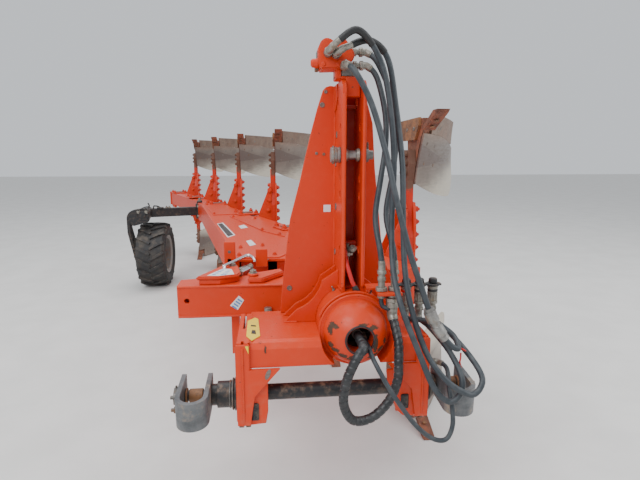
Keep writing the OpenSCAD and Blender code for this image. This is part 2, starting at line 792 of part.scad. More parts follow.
// Tyre: a closed carcass of revolution with a chevron of lugs fused to its tread
module tyre() {
    r = tyre_d / 2 - lug_h;
    b = rim_d / 2 + seat;
    w = tyre_w / 2;
    color(rubber) placed() translate([wheel_x, wheel_y, wheel_z]) rotate([0, 90, 0]) {
        difference() {
            union() {
                rotate_extrude($fn = 72) polygon([
                    [b, -w * 0.72], [b + 16, -w * 0.84], [b + 50, -w * 0.97], [r - 60, -w], [r - 30, -w * 0.95],
                    [r - 6, -w * 0.8], [r, -w * 0.4], [r, w * 0.4], [r - 6, w * 0.8], [r - 30, w * 0.95], [r - 60, w],
                    [b + 50, w * 0.97], [b + 16, w * 0.84], [b, w * 0.72]
                ]);
                intersection() {
                    for (k = [0:lugs - 1]) for (s = [-1, 1]) rotate([0, 0, 360 * (k + (s > 0 ? 0.5 : 0)) / lugs])
                        rotate([s * 28, 0, 0]) translate([r - 35, -13, s > 0 ? -4 : -w * 1.02])
                            cube([60 + lug_h, 26, w * 1.02 + 4]);
                    rotate_extrude($fn = 72) polygon([
                        [r - 60, -w], [r - 25, -w], [r + lug_h * 0.4, -w * 0.9], [r + lug_h, -w * 0.6],
                        [r + lug_h, w * 0.6], [r + lug_h * 0.4, w * 0.9], [r - 25, w], [r - 60, w]
                    ]);
                }
            }
            rotate_extrude($fn = 72) polygon([
                [0, -w * 0.66], [b + 10, -w * 0.66], [b + 30, -w * 0.8], [r - 50, -w * 0.86], [r - 22, -w * 0.7], [r - 16, 0],
                [r - 22, w * 0.7], [r - 50, w * 0.86], [b + 30, w * 0.8], [b + 10, w * 0.66], [0, w * 0.66]
            ]);
        }
    }
}

// Smooth curve through a route's points, and a tube swept along it
function spline_at(p, i, t) =
    let (a = p[max(0, i - 1)], b = p[i], c = p[i + 1], d = p[min(len(p) - 1, i + 2)])
    0.5 * ((2 * b) + (c - a) * t + (2 * a - 5 * b + 4 * c - d) * t * t + (3 * b - a - 3 * c + d) * t * t * t);
function smooth(p, n) = concat([p[0]], [for (i = [1:len(p) - 3]) for (k = [0:n - 1]) spline_at(p, i, k / n)], [p[len(p) - 2], p[len(p) - 1]]);
function tangent(p, i) = unit(p[min(i + 1, len(p) - 1)] - p[max(i - 1, 0)]);
function carry(v, t) = unit(v - (v * t) * t);
function frames(p, i, v) = i >= len(p) ? [] : let (w = carry(v, tangent(p, i))) concat([w], frames(p, i + 1, w));

module tube(route, d, sides) {
    p = smooth(route, 3);
    n = len(p);
    side_vectors = frames(p, 0, [0.01, 1, 0.02]);
    points = [for (i = [0:n - 1]) for (k = [0:sides - 1])
        let (t = tangent(p, i), v = side_vectors[i], a = 360 * k / sides)
        p[i] + d / 2 * (cos(a) * v + sin(a) * cross(t, v))];
    faces = concat(
        [[for (k = [0:sides - 1]) k]],
        [for (i = [0:n - 2]) for (k = [0:sides - 1])
            let (a = i * sides + k, b = i * sides + (k + 1) % sides) each [[a, a + sides, b + sides], [a, b + sides, b]]],
        [[for (k = [sides - 1:-1:0]) (n - 1) * sides + k]]);
    polyhedron(points, faces, convexity = 10);
}

route_a = [[-90, 0, 1773], [-90, -20, 1773], [-60, -50, 1800], [0, -50, 1830], [70, -30, 1760], [105, -40, 1640],
    [125, -60, 1430], [118, -80, 1200], [115, -130, 1050], [130, -195, 940], [175, -240, 810], [225, -260, 690],
    [280, -258, 635], [318, -258, 662], [325, -240, 715], [306, -170, 775], [270, -72, 824], [251, -12, 836], [250, 0, 858], [250, 0, 880]];
route_b = [[-62, 0, 1769], [-62, -20, 1769], [-28, -30, 1785], [45, -10, 1808], [110, 0, 1755], [140, -10, 1600],
    [155, -60, 1400], [150, -110, 1200], [150, -150, 1050], [165, -190, 930], [205, -228, 800], [252, -260, 727],
    [300, -286, 690], [352, -286, 672], [388, -262, 712], [372, -190, 762], [330, -80, 815], [301, -12, 834], [300, 0, 858], [300, 0, 880]];
route_c = [[-34, 0, 1731], [-34, -20, 1731], [-10, -60, 1700], [40, -80, 1600], [80, -120, 1450], [108, -165, 1300],
    [150, -190, 1130], [190, -205, 1010], [232, -210, 900], [285, -222, 822], [322, -212, 800], [326, -150, 822],
    [280, -100, 850], [225, -50, 848], [201, -12, 840], [200, 0, 860], [200, 0, 880]];
route_e = [[26, 65, 1741], [50, 65, 1741], [85, 50, 1700], [110, 20, 1580], [110, 0, 1470], [90, -20, 1350],
    [70, -40, 1220], [80, -82, 1110], [85, -90, 1058], [85, -90, 1030.3]];
route_f = [[26, 80, 1789], [50, 80, 1789], [90, 60, 1750], [140, 30, 1620], [150, 10, 1500], [135, -10, 1370],
    [110, -30, 1230], [126, -78, 1120], [130, -90, 1058], [130, -90, 1030.3]];
route_g = [[24, -60, 806], [26, -150, 800], [35, -215, 772], [65, -250, 715], [105, -262, 650], [165, -265, 565],
    [225, -265, 512], [272, -265, 504], [296, -258, 545], [300, -240, 600], [298, -212, 650], [314, -140, 695],
    [299, -90, 700], [276.3, -90, 700]];
route_wrap = [[125, -90, 910], [125, -90, 885], [130, -115, 850], [133, -155, 805], [130, -175, 745], [125, -184, 680], [95, -190, 610],
    [35, -200, 560], [-30, -210, 560], [-65, -225, 630], [-55, -235, 720], [-25, -235, 790], [0, -215, 815],
    [0, -150, 820], [0, -60, 820]];

module hose(route, d) {
    color(rubber) placed() tube(route, d, 8);
}

module hose_a() {
    hose(route_a, hose_d);
}

module hose_b() {
    hose(route_b, hose_d);
}

module hose_c() {
    hose(route_c, hose_d);
}

module hose_e() {
    hose(route_e, hose_d);
}

module hose_f() {
    hose(route_f, hose_d);
}

module hose_g() {
    hose(route_g, hose_d - 4);
}

module hose_wrap() {
    hose(route_wrap, wrap_d);
}

bearing_housing();
cross_member();
cheek_left();
cheek_right();
saddle();
tower_left();
tower_right();
tower_wings();
top_link_pin();
hitch_shaft();
link_yokes();
hose_block();
hose_rack();
couplers();
turnover_barrel();
turnover_rod();
turnover_shaft();
cross_arm();
carrier();
turnbuckles();
main_beam();
deck();
beam_end();
leg_brackets();
legs_upper();
legs_lower();
frogs_upper();
frogs_lower();
boards_upper();
boards_lower();
shares_upper();
shares_lower();
points_upper();
points_lower();
landsides_upper();
landsides_lower();
wheel_arm();
wheel_leg();
wheel_axle();
wheel_hub();
rim();
tyre();
hose_a();
hose_b();
hose_c();
hose_e();
hose_f();
hose_g();
hose_wrap();
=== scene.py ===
import bpy
import bmesh
import math
import random
from mathutils import Matrix, Vector


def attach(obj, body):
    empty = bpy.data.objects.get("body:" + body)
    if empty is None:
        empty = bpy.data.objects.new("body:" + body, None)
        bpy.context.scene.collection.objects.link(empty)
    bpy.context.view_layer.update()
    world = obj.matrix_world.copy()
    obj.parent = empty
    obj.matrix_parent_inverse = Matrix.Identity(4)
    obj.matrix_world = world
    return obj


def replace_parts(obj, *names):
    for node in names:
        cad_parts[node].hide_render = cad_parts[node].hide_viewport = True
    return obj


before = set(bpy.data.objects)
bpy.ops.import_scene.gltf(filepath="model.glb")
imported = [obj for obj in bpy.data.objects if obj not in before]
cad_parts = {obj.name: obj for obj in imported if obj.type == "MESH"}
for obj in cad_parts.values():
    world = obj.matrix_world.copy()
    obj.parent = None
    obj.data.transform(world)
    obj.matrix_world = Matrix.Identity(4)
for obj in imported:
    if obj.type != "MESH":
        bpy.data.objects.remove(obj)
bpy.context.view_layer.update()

# Millimetres: the tower's foot in the row frame, the turnover axis above the ground, the gap where pieces meet
FOOT_X, FOOT_Y = 459.5, -2819.8
AXIS_Z = 820
SEAT = 0.3
X, Y, Z = Vector((1, 0, 0)), Vector((0, 1, 0)), Vector((0, 0, 1))


def P(x, y, z):
    """A point in millimetres from the tower's foot, in the row frame in metres."""
    return Vector(((x + FOOT_X) / 1000, (y + FOOT_Y) / 1000, z / 1000))


# From millimetres at the tower's foot to the row frame
TO_FRAME = Matrix.Translation(P(0, 0, 0)) @ Matrix.Scale(0.001, 4)


# Camera: the place and lens solved from the photograph's vanishing lines
def camera():
    data = bpy.data.cameras.new("camera")
    data.sensor_width = 36
    data.lens = 27.06
    data.clip_end = 100
    cam = bpy.data.objects.new("camera", data)
    cam.location = P(-295, -1671, 1434)
    cam.rotation_euler = (math.radians(79.98), 0, math.radians(-6))
    bpy.context.scene.collection.objects.link(cam)
    bpy.context.scene.camera = cam


camera()

# Colours of dry soil: a film on faces that look up, and splashes low down
DUST = (0.42, 0.27, 0.17)
SPLASH = (0.30, 0.19, 0.12)


# Materials
class Nodes:
    """A material being made. Each method adds nodes and gives back their output."""

    def __init__(self, name):
        self.mat = bpy.data.materials.new("look_" + name)
        self.mat.use_nodes = True
        self.tree = self.mat.node_tree
        self.bsdf = self.tree.nodes["Principled BSDF"]
        coord = self.tree.nodes.new("ShaderNodeTexCoord")
        geo = self.tree.nodes.new("ShaderNodeNewGeometry")
        self.own, self.uv = coord.outputs["Object"], coord.outputs["UV"]
        self.position, self.normal = geo.outputs["Position"], geo.outputs["Normal"]

    def fill(self, node, inputs):
        for key, value in inputs.items():
            if isinstance(value, bpy.types.NodeSocket):
                self.tree.links.new(value, node.inputs[key])
            else:
                node.inputs[key].default_value = value

    def node(self, kind, inputs, result=0, **options):
        node = self.tree.nodes.new("ShaderNode" + kind)
        for key, value in options.items():
            setattr(node, key, value)
        self.fill(node, inputs)
        return node.outputs[result]

    def noise(self, scale, detail=4.0, rough=0.55, at=None):
        inputs = {"Scale": scale, "Detail": detail, "Roughness": rough, "Vector": at or self.position}
        return self.node("TexNoise", inputs, "Fac")

    def math(self, kind, a, b=0.0, clamp=False):
        return self.node("Math", {0: a, 1: b}, operation=kind, use_clamp=clamp)

    def times(self, a, b):
        return self.math("MULTIPLY", a, b)

    def plus(self, a, b):
        return self.math("ADD", a, b)

    def ramp(self, value, low, high, a=0.0, b=1.0):
        """From a at low to b at high, with smooth ends."""
        return self.node("MapRange", {"Value": value, "From Min": low, "From Max": high, "To Min": a, "To Max": b},
                         "Result", interpolation_type="SMOOTHSTEP")

    def mix(self, factor, a, b):
        a, b = (c if isinstance(c, bpy.types.NodeSocket) else (*c, 1) for c in (a, b))
        return self.node("Mix", {"Factor": factor, "A": a, "B": b}, "Result", data_type="RGBA")

    def part(self, vector, letter):
        return self.node("SeparateXYZ", {0: vector}, letter)

    def up(self):
        return self.part(self.normal, "Z")

    def edges(self, radius):
        """1 near a convex or concave edge and 0 on flat faces, and the rounded normal."""
        soft = self.node("Bevel", {"Radius": radius}, samples=4)
        turned = self.node("VectorMath", {0: soft, 1: self.normal}, "Value", operation="DOT_PRODUCT")
        return self.ramp(turned, 0.995, 0.86), soft

    def bump(self, height, strength, soft=None):
        inputs = {"Height": height, "Strength": strength, "Distance": 0.001}
        if soft:
            inputs["Normal"] = soft
        return self.node("Bump", inputs)

    def done(self, color, rough, metal=0.0, normal=None, coat=0.0):
        inputs = {"Base Color": color, "Roughness": rough, "Metallic": metal}
        if coat:
            inputs.update({"Coat Weight": coat, "Coat Roughness": 0.25})
        if normal:
            inputs["Normal"] = normal
        self.fill(self.bsdf, inputs)
        return self.mat


def paint(name, base, faded, under, chips=0.62, dust=0.12, rough=0.42, edge=0.004, foot=None, marks=()):
    """Worn paint. foot is a height from the turnover axis, in metres, beyond which soil has taken the paint off.
    marks are the photograph's own chips and scuffs, each a centre and three radii in millimetres."""
    m = Nodes(name)
    fine = m.noise(38, 5)
    edge_mask, soft = m.edges(edge)
    color = m.mix(m.ramp(m.noise(1.8, 3), 0.35, 0.7, 0, 0.55), base, [c * 0.86 for c in base])
    color = m.mix(m.times(m.ramp(m.up(), 0.25, 0.95), 0.15), color, faded)
    worn = m.times(edge_mask, m.ramp(m.noise(22, 6, 0.7), 0.42, 0.6))
    color = m.mix(m.times(worn, 0.8), color, faded)
    deep = m.times(edge_mask, m.ramp(m.noise(46, 6, 0.75), chips - 0.02, chips + 0.02))
    spot = m.ramp(m.noise(64, 2, 0.5), 0.745, 0.76)
    bare = m.math("MAXIMUM", deep, spot)
    if foot:
        reach = m.math("ABSOLUTE", m.math("SUBTRACT", m.part(m.own, "Z"), AXIS_Z / 1000))
        soil = m.ramp(m.plus(reach, m.times(m.noise(30, 5, 0.7), 0.08)), foot, foot + 0.03)
        bare = m.math("MAXIMUM", bare, soil)
    if marks:
        ragged = m.times(m.noise(48, 6, 0.85), 3.0)
    for centre, radii in marks:
        far = m.node("VectorMath", {0: m.position, 1: P(*centre)}, operation="SUBTRACT")
        far = m.node("VectorMath", {0: far, 1: [r / 1000 for r in radii]}, operation="DIVIDE")
        far = m.node("VectorMath", {0: far}, "Value", operation="LENGTH")
        bare = m.math("MAXIMUM", bare, m.ramp(m.plus(far, ragged), 2.5, 2.42))
    color = m.mix(bare, color, under)
    film = m.times(m.ramp(fine, 0.45, 0.75), m.times(m.ramp(m.up(), -0.2, 1.0, 0.25, 1.0), dust))
    color = m.mix(film, color, DUST)
    low = m.times(m.ramp(m.part(m.position, "Z"), 0.75, 0.25), m.ramp(fine, 0.4, 0.7, 0, 0.5))
    color = m.mix(low, color, SPLASH)
    gloss = m.plus(m.ramp(m.noise(210, 3), 0.3, 0.7, rough - 0.05, rough + 0.1), m.times(bare, 0.3))
    normal = m.bump(m.plus(m.times(fine, 0.5), m.times(bare, -1.0)), 0.12, soft)
    m.bsdf.inputs["Specular IOR Level"].default_value = 0.35
    return m.done(color, gloss, 0.0, normal, coat=0.08)


# The makers' orange: fresh, faded and the primer under it
COAT = (0.64, 0.034, 0.0), (0.70, 0.07, 0.012), (0.07, 0.035, 0.02)
ORANGE = paint("orange_paint", *COAT)
LEG = paint("leg_paint", (0.56, 0.02, 0.0), (0.62, 0.045, 0.01), (0.13, 0.062, 0.04), foot=0.46)
HOUSING = paint("housing_paint", *COAT, marks=(
    ((-84, -120, 862), (17, 30, 11)), ((-96, -120, 846), (10, 30, 17)), ((-98, -130, 792), (12, 30, 15)),
    ((-84, -140, 774), (18, 30, 13)), ((-62, -150, 756), (24, 30, 14)), ((-34, -160, 744), (28, 30, 17)),
    ((60, -150, 752), (30, 30, 15)), ((84, -140, 772), (20, 30, 17)), ((96, -135, 798), (10, 30, 18)),
    ((44, -160, 862), (22, 18, 9)), ((10, -165, 874), (26, 14, 5)), ((54, -160, 800), (9, 18, 40)),
    ((-380, -110, 476), (60, 60, 28)), ((-332, -118, 810), (11, 16, 8)), ((-318, -124, 788), (5, 10, 20)),
    ((232, -110, 478), (50, 60, 20))))
# A darker copy of the orange: painted shade on the webs, latch and flanges set back inside the frame and across gaps
ORANGE_SHADE = paint("orange_painted_shade", (0.40, 0.012, 0.003), (0.50, 0.03, 0.01), (0.05, 0.025, 0.015), 0.55, 0.3)
BLACK = paint("black_paint", (0.017, 0.017, 0.019), (0.05, 0.047, 0.044), (0.10, 0.06, 0.035), 0.66, 0.45, 0.4)
RED = paint("red_plastic", (0.55, 0.012, 0.012), (0.6, 0.04, 0.03), (0.3, 0.01, 0.01), 0.8, 0.15)
WHITE = paint("label_white", (0.75, 0.76, 0.77), (0.78, 0.78, 0.78), (0.4, 0.35, 0.3), 0.7, 0.25, 0.45, 0.001)
YELLOW = paint("label_yellow", (0.86, 0.62, 0.02), (0.86, 0.66, 0.1), (0.25, 0.2, 0.1), 0.66, 0.25, 0.45, 0.001)
DECAL = paint("label_black", (0.02, 0.02, 0.022), (0.03, 0.03, 0.03), (0.2, 0.2, 0.2), 0.7, 0.2, 0.4, 0.001)
BLUE = paint("label_blue", (0.10, 0.23, 0.5), (0.2, 0.33, 0.55), (0.5, 0.5, 0.5), 0.66, 0.2, 0.45, 0.001)


def steel(name, light, dark, rust, amount, rough, metal=0.75, scale=26):
    """Steel with rust over a share of it that grows with amount."""
    m = Nodes(name)
    edge_mask, soft = m.edges(0.002)
    fine = m.noise(scale * 7, 4)
    color = m.mix(m.ramp(m.noise(scale, 7, 0.65), 0.35, 0.68), light, dark)
    mask = m.ramp(m.noise(scale * 0.6, 6, 0.7), 0.72 - 0.5 * amount, 0.86 - 0.5 * amount)
    color = m.mix(mask, color, rust)
    color = m.mix(m.times(edge_mask, 0.4), color, light)
    metallic = m.times(m.math("SUBTRACT", 1.0, mask, True), metal)
    return m.done(color, m.ramp(fine, 0.3, 0.7, rough - 0.08, rough + 0.12), metallic, m.bump(fine, 0.15, soft))


DARK = steel("dark_steel", (0.23, 0.22, 0.21), (0.12, 0.11, 0.10), (0.17, 0.085, 0.04), 0.55, 0.5)
GREY = steel("grey_steel", (0.34, 0.33, 0.31), (0.20, 0.19, 0.18), (0.24, 0.16, 0.10), 0.35, 0.48)
ZINC = steel("zinc_plate", (0.32, 0.30, 0.26), (0.18, 0.165, 0.14), (0.20, 0.15, 0.10), 0.4, 0.42, 0.6, 40)
CHROME = steel("chrome_rod", (0.72, 0.73, 0.75), (0.62, 0.63, 0.65), (0.5, 0.48, 0.45), 0.1, 0.14, 1.0, 60)
RUST = steel("rusty_steel", (0.19, 0.10, 0.055), (0.12, 0.06, 0.035), (0.26, 0.115, 0.045), 0.6, 0.62, 0.25, 30)
POINT = steel("rust_red", (0.20, 0.075, 0.042), (0.12, 0.045, 0.028), (0.27, 0.085, 0.04), 0.55, 0.66, 0.15, 22)
SHARE = steel("share_steel", (0.25, 0.175, 0.13), (0.18, 0.115, 0.085), (0.21, 0.125, 0.085), 0.45, 0.5, 0.35, 14)
YOKE = steel("yoke_steel", (0.155, 0.16, 0.165), (0.085, 0.09, 0.095), (0.27, 0.21, 0.155), 0.42, 0.5, 0.35, 16)


def board_steel(name, rusty_and_shaded):
    """A scoured mouldboard with painted highlight and painted shade on it: u runs out to the tail, v from the share up.
    """
    m = Nodes(name)
    u, v = m.part(m.uv, "X"), m.part(m.uv, "Y")
    stretched = m.node("Mapping", {"Scale": (1.0, 3.5, 1.0), "Vector": m.uv})
    streak = m.noise(9, 5, 0.6, stretched)
    sheen = m.mix(m.ramp(m.noise(5, 6, 0.65), 0.35, 0.65), (0.27, 0.22, 0.185), (0.20, 0.16, 0.135))
    # bright cream towards the tail and the frame: painted highlight on the scoured steel, where the board turns to the
    # light
    tail = m.ramp(m.plus(m.plus(v, m.times(u, 0.4)), m.times(streak, 0.3)),
                  0.95 if rusty_and_shaded else 0.7, 1.3 if rusty_and_shaded else 1.1)
    color = m.mix(tail, sheen, (0.60, 0.54, 0.44))
    band = m.ramp(m.plus(v, m.times(streak, 0.2)), 0.46, 0.28)
    brown = m.mix(m.ramp(m.noise(60, 5, 0.7), 0.4, 0.65), (0.21, 0.125, 0.085), (0.29, 0.19, 0.135))
    color = m.mix(m.times(band, 0.85 if rusty_and_shaded else 0.3), color, brown)
    # dark wedge of painted shade that runs from the shin towards the tail, with a softer halo of painted shade round it
    far = m.math("ABSOLUTE", m.math("SUBTRACT", v, m.plus(m.times(u, 0.08), 0.47)))
    wide = m.plus(m.times(u, -0.20), m.plus(m.times(streak, 0.03), 0.125))
    painted_shade_wedge = m.ramp(m.math("SUBTRACT", wide, far), -0.004, 0.008)
    color = m.mix(m.times(painted_shade_wedge, 0.78 if rusty_and_shaded else 0.55), color, (0.095, 0.062, 0.052))
    painted_shade_halo = m.ramp(m.math("SUBTRACT", m.plus(wide, 0.1), far), -0.05, 0.12)
    color = m.mix(m.times(painted_shade_halo, 0.35), color, (0.13, 0.09, 0.075))
    spots = m.ramp(m.noise(36, 5, 0.75), 0.62, 0.74)
    color = m.mix(m.times(spots, 0.3), color, (0.22, 0.13, 0.08))
    metal = m.math("SUBTRACT", 0.55, m.plus(m.times(band, 0.4), m.times(painted_shade_wedge, 0.4)), True)
    return m.done(color, m.ramp(streak, 0.3, 0.7, 0.33, 0.5), metal,
                  m.bump(m.plus(m.noise(150, 3), m.times(streak, 3.0)), 0.1))


# The upper row's boards are rustier, with more painted shade and less painted highlight than the lower row's
BOARD = board_steel("scoured_steel", True)
BOARD_LOW = board_steel("scoured_steel_low", False)


def rubber(name, base, dusty, scale, rough=0.62, dust=0.35):
    m = Nodes(name)
    edge_mask, soft = m.edges(0.003)
    fine = m.noise(scale, 5)
    up = m.ramp(m.up(), -0.1, 1.0)
    color = m.mix(m.times(m.ramp(fine, 0.4, 0.7), m.plus(m.times(up, dust), dust * 0.5)), base, dusty)
    color = m.mix(m.times(edge_mask, 0.35), color, dusty)
    return m.done(color, m.ramp(fine, 0.3, 0.7, rough - 0.08, rough + 0.12), 0.0,
                  m.bump(m.noise(scale * 4, 3), 0.12, soft))


HOSE = rubber("hose_rubber", (0.026, 0.033, 0.04), (0.11, 0.12, 0.125), 30, 0.48, 0.4)
WRAP = rubber("wrap_plastic", (0.014, 0.015, 0.017), (0.10, 0.10, 0.10), 40, 0.38, 0.3)
TYRE = rubber("tyre_rubber", (0.022, 0.022, 0.023), (0.15, 0.125, 0.10), 14, 0.7, 0.5)
GRIP = rubber("black_grip", (0.012, 0.012, 0.013), (0.06, 0.06, 0.06), 60, 0.5, 0.2)
RIM = paint("rim_paint", (0.24, 0.235, 0.225), (0.36, 0.34, 0.31), (0.12, 0.07, 0.04), 0.6, 0.5)


# Mesh building
def turns(n):
    return [math.tau * k / n for k in range(n)]


class Build:
    """Collects small pieces of one material on one body into one mesh. Sizes and points are in millimetres.
    at is a matrix that places what is added next."""

    def __init__(self, name, mat, body="headstock"):
        self.name, self.mat, self.body = name, mat, body
        self.bm = bmesh.new()
        self.at = Matrix.Identity(4)

    def add(self, part, matrix=None, bevel=0.0, segments=1):
        if bevel:
            edges = [e for e in part.edges if len(e.link_faces) == 2 and e.calc_face_angle(0) > 0.6]
            bmesh.ops.bevel(part, geom=edges, offset=bevel, segments=segments, affect="EDGES", clamp_overlap=True)
        part.transform(self.at @ (matrix or Matrix.Identity(4)))
        scratch = bpy.data.meshes.new("scratch")
        part.to_mesh(scratch)
        self.bm.from_mesh(scratch)
        bpy.data.meshes.remove(scratch)
        part.free()
        return self

    def cyl(self, a, b, r, bevel=0.0, r2=None, sides=20):
        a, b = Vector(a), Vector(b)
        part = bmesh.new()
        bmesh.ops.create_cone(part, cap_ends=True, segments=sides, radius1=r, radius2=r if r2 is None else r2,
                              depth=(b - a).length)
        turn = (b - a).to_track_quat("Z", "Y").to_matrix().to_4x4()
        return self.add(part, Matrix.Translation((a + b) / 2) @ turn, bevel)

    def box(self, low, high, bevel=1.5):
        low, high = Vector(low), Vector(high)
        part = bmesh.new()
        bmesh.ops.create_cube(part, size=1)
        part.transform(Matrix.Diagonal((*(high - low), 1)))
        return self.add(part, Matrix.Translation((low + high) / 2), bevel)

    def slab(self, outline, a, b, axis, bevel=1.5, matrix=None, segments=1):
        """A plate from an outline, from a to b along axis x, y or z. The outline is (y, z), (x, z) or (x, y)."""
        part = bmesh.new()
        k = "xyz".index(axis)
        low, high = ([part.verts.new((*p[:k], at, *p[k:])) for p in outline] for at in (a, b))
        n = len(outline)
        part.faces.new(low)
        part.faces.new(high[::-1])
        for i in range(n):
            part.faces.new((low[i], high[i], high[(i + 1) % n], low[(i + 1) % n]))
        bmesh.ops.recalc_face_normals(part, faces=part.faces)
        return self.add(part, matrix, bevel, segments)

    def hexa(self, at, axis, across, height, bevel=0.8):
        """A hexagon of the given width across its flats."""
        at, axis = Vector(at), Vector(axis).normalized()
        return self.cyl(at, at + axis * height, across / 1.732, bevel, sides=6)

    def bolt(self, at, axis, across=24, height=13, thread=10, washer=True):
        at, axis = Vector(at), Vector(axis).normalized()
        if washer:
            self.cyl(at, at + axis * 3, across * 0.72, 0.5)
            at = at + axis * 3
        self.hexa(at, axis, across, height)
        if thread:
            self.cyl(at + axis * height, at + axis * (height + thread), across * 0.29, 0.6, sides=12)
        return self

    def ball(self, at, r, sides):
        part = bmesh.new()
        bmesh.ops.create_uvsphere(part, u_segments=sides, v_segments=sides // 2, radius=r)
        return self.add(part, Matrix.Translation(Vector(at)))

    def ring(self, at, axis, r, tube, sides=28, around=8):
        at, axis = Vector(at), Vector(axis).normalized()
        q = axis.to_track_quat("Z", "Y").to_matrix()
        pts = [at + q @ Vector((r * math.cos(a), r * math.sin(a), 0)) for a in turns(sides)]
        return self.pipe(pts, tube, around, closed=True)

    def pipe(self, pts, r, sides=10, closed=False):
        """A tube along points. r is its radius: a number, one for each point, or a list of them round each point."""
        pts = [Vector(p) for p in pts]
        n = len(pts)
        if isinstance(r, (int, float)):
            r = [r] * n
        part = bmesh.new()
        side = None
        rings = []
        for i, p in enumerate(pts):
            nxt = pts[(i + 1) % n] if closed else pts[min(i + 1, n - 1)]
            prv = pts[(i - 1) % n] if closed else pts[max(i - 1, 0)]
            t = (nxt - prv).normalized()
            side = t.orthogonal() if side is None else side
            side = (side - side.dot(t) * t).normalized()
            up = t.cross(side)
            radii = r[i] if isinstance(r[i], list) else [r[i]] * sides
            rings.append([part.verts.new(p + h * (math.cos(a) * side + math.sin(a) * up))
                          for h, a in zip(radii, turns(sides))])
        for a, b in zip(rings, rings[1:] + rings[:1] if closed else rings[1:]):
            for k in range(sides):
                part.faces.new((a[k], a[(k + 1) % sides], b[(k + 1) % sides], b[k]))
        if not closed:
            part.faces.new(rings[0][::-1])
            part.faces.new(rings[-1])
        return self.add(part)

    def done(self, angle=32):
        mesh = bpy.data.meshes.new(self.name)
        self.bm.transform(TO_FRAME)
        bmesh.ops.recalc_face_normals(self.bm, faces=self.bm.faces)
        self.bm.to_mesh(mesh)
        self.bm.free()
        return place(self.name, mesh, self.mat, self.body, angle)


def place(name, mesh, mat, body, angle=32):
    for p in mesh.polygons:
        p.use_smooth = True
    mesh.set_sharp_from_angle(angle=math.radians(angle))
    mesh.materials.append(mat)
    o = bpy.data.objects.new(name, mesh)
    bpy.context.scene.collection.objects.link(o)
    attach(o, body)
    return o


def spline(route, n):
    """A smooth line through a route, with n points to each of its inner legs."""
    p = [Vector(q) for q in route]
    out = [p[0]]
    for i in range(1, len(p) - 2):
        a, b, c, d = p[i - 1], p[i], p[i + 1], p[i + 2]
        for k in range(n):
            t = k / n
            out.append(0.5 * ((2 * b) + (c - a) * t + (2 * a - 5 * b + 4 * c - d) * t * t
                              + (3 * b - a - 3 * c + d) * t ** 3))
    return out + [p[-2], p[-1]]


# Hoses
ROUTES = {
    "a": [(-90, 0, 1773), (-90, -20, 1773), (-60, -50, 1800), (0, -50, 1830), (70, -30, 1760), (105, -40, 1640),
          (125, -60, 1430), (118, -80, 1200), (115, -130, 1050), (130, -195, 940), (175, -240, 810), (225, -260, 690),
          (280, -258, 635), (318, -258, 662), (325, -240, 715), (306, -170, 775), (270, -72, 824), (251, -12, 836),
          (250, 0, 858), (250, 0, 880)],
    "b": [(-62, 0, 1769), (-62, -20, 1769), (-28, -30, 1785), (45, -10, 1808), (110, 0, 1755), (140, -10, 1600),
          (155, -60, 1400), (150, -110, 1200), (150, -150, 1050), (165, -190, 930), (205, -228, 800), (252, -260, 727),
          (300, -286, 690), (352, -286, 672), (388, -262, 712), (372, -190, 762), (330, -80, 815), (301, -12, 834),
          (300, 0, 858), (300, 0, 880)],
    "c": [(-34, 0, 1731), (-34, -20, 1731), (-10, -60, 1700), (40, -80, 1600), (80, -120, 1450), (108, -165, 1300),
          (150, -190, 1130), (190, -205, 1010), (232, -210, 900), (285, -222, 822), (322, -212, 800), (326, -150, 822),
          (280, -100, 850), (225, -50, 848), (201, -12, 840), (200, 0, 860), (200, 0, 880)],
    "e": [(26, 65, 1741), (50, 65, 1741), (85, 50, 1700), (110, 20, 1580), (110, 0, 1470), (90, -20, 1350),
          (70, -40, 1220), (80, -82, 1110), (85, -90, 1058), (85, -90, 1030.3)],
    "f": [(26, 80, 1789), (50, 80, 1789), (90, 60, 1750), (140, 30, 1620), (150, 10, 1500), (135, -10, 1370),
          (110, -30, 1230), (126, -78, 1120), (130, -90, 1058), (130, -90, 1030.3)],
    "g": [(24, -60, 806), (26, -150, 800), (35, -215, 772), (65, -250, 715), (105, -262, 650), (165, -265, 565),
          (225, -265, 512), (272, -265, 504), (296, -258, 545), (300, -240, 600), (298, -212, 650), (314, -140, 695),
          (299, -90, 700), (276.3, -90, 700)],
    "wrap": [(125, -90, 910), (125, -90, 885), (130, -115, 850), (133, -155, 805), (130, -175, 745), (125, -184, 680),
             (95, -190, 610), (35, -200, 560), (-30, -210, 560), (-65, -225, 630), (-55, -235, 720), (-25, -235, 790),
             (0, -215, 815), (0, -150, 820), (0, -60, 820)],
}


def resample(points, step):
    """Points at equal steps along a line, and its last one."""
    out, left = [points[0]], step
    for a, b in zip(points, points[1:]):
        length = (b - a).length
        while left <= length:
            out.append(a.lerp(b, left / length))
            left += step
        left -= length
    return out + [points[-1]]


# Radii of the hoses. The spiral guard round the bundle is a flat band: its radius, the depth and share of a turn
# of the groove between its turns, its pitch, and the step of the points it is built on
HOSE_R, THIN_R = 10, 8
GUARD_R, GROOVE, GROOVE_SHARE, PITCH, STEP = 16, 3.2, 0.16, 21, 2.6


def guard(line):
    """The guard's radii round each point of a line."""
    turned, radii = 0.0, []
    for _ in line:
        turned += STEP / PITCH * math.tau
        radii.append([GUARD_R if (a - turned) / math.tau % 1.0 > GROOVE_SHARE else GUARD_R - GROOVE for a in turns(24)])
    return radii


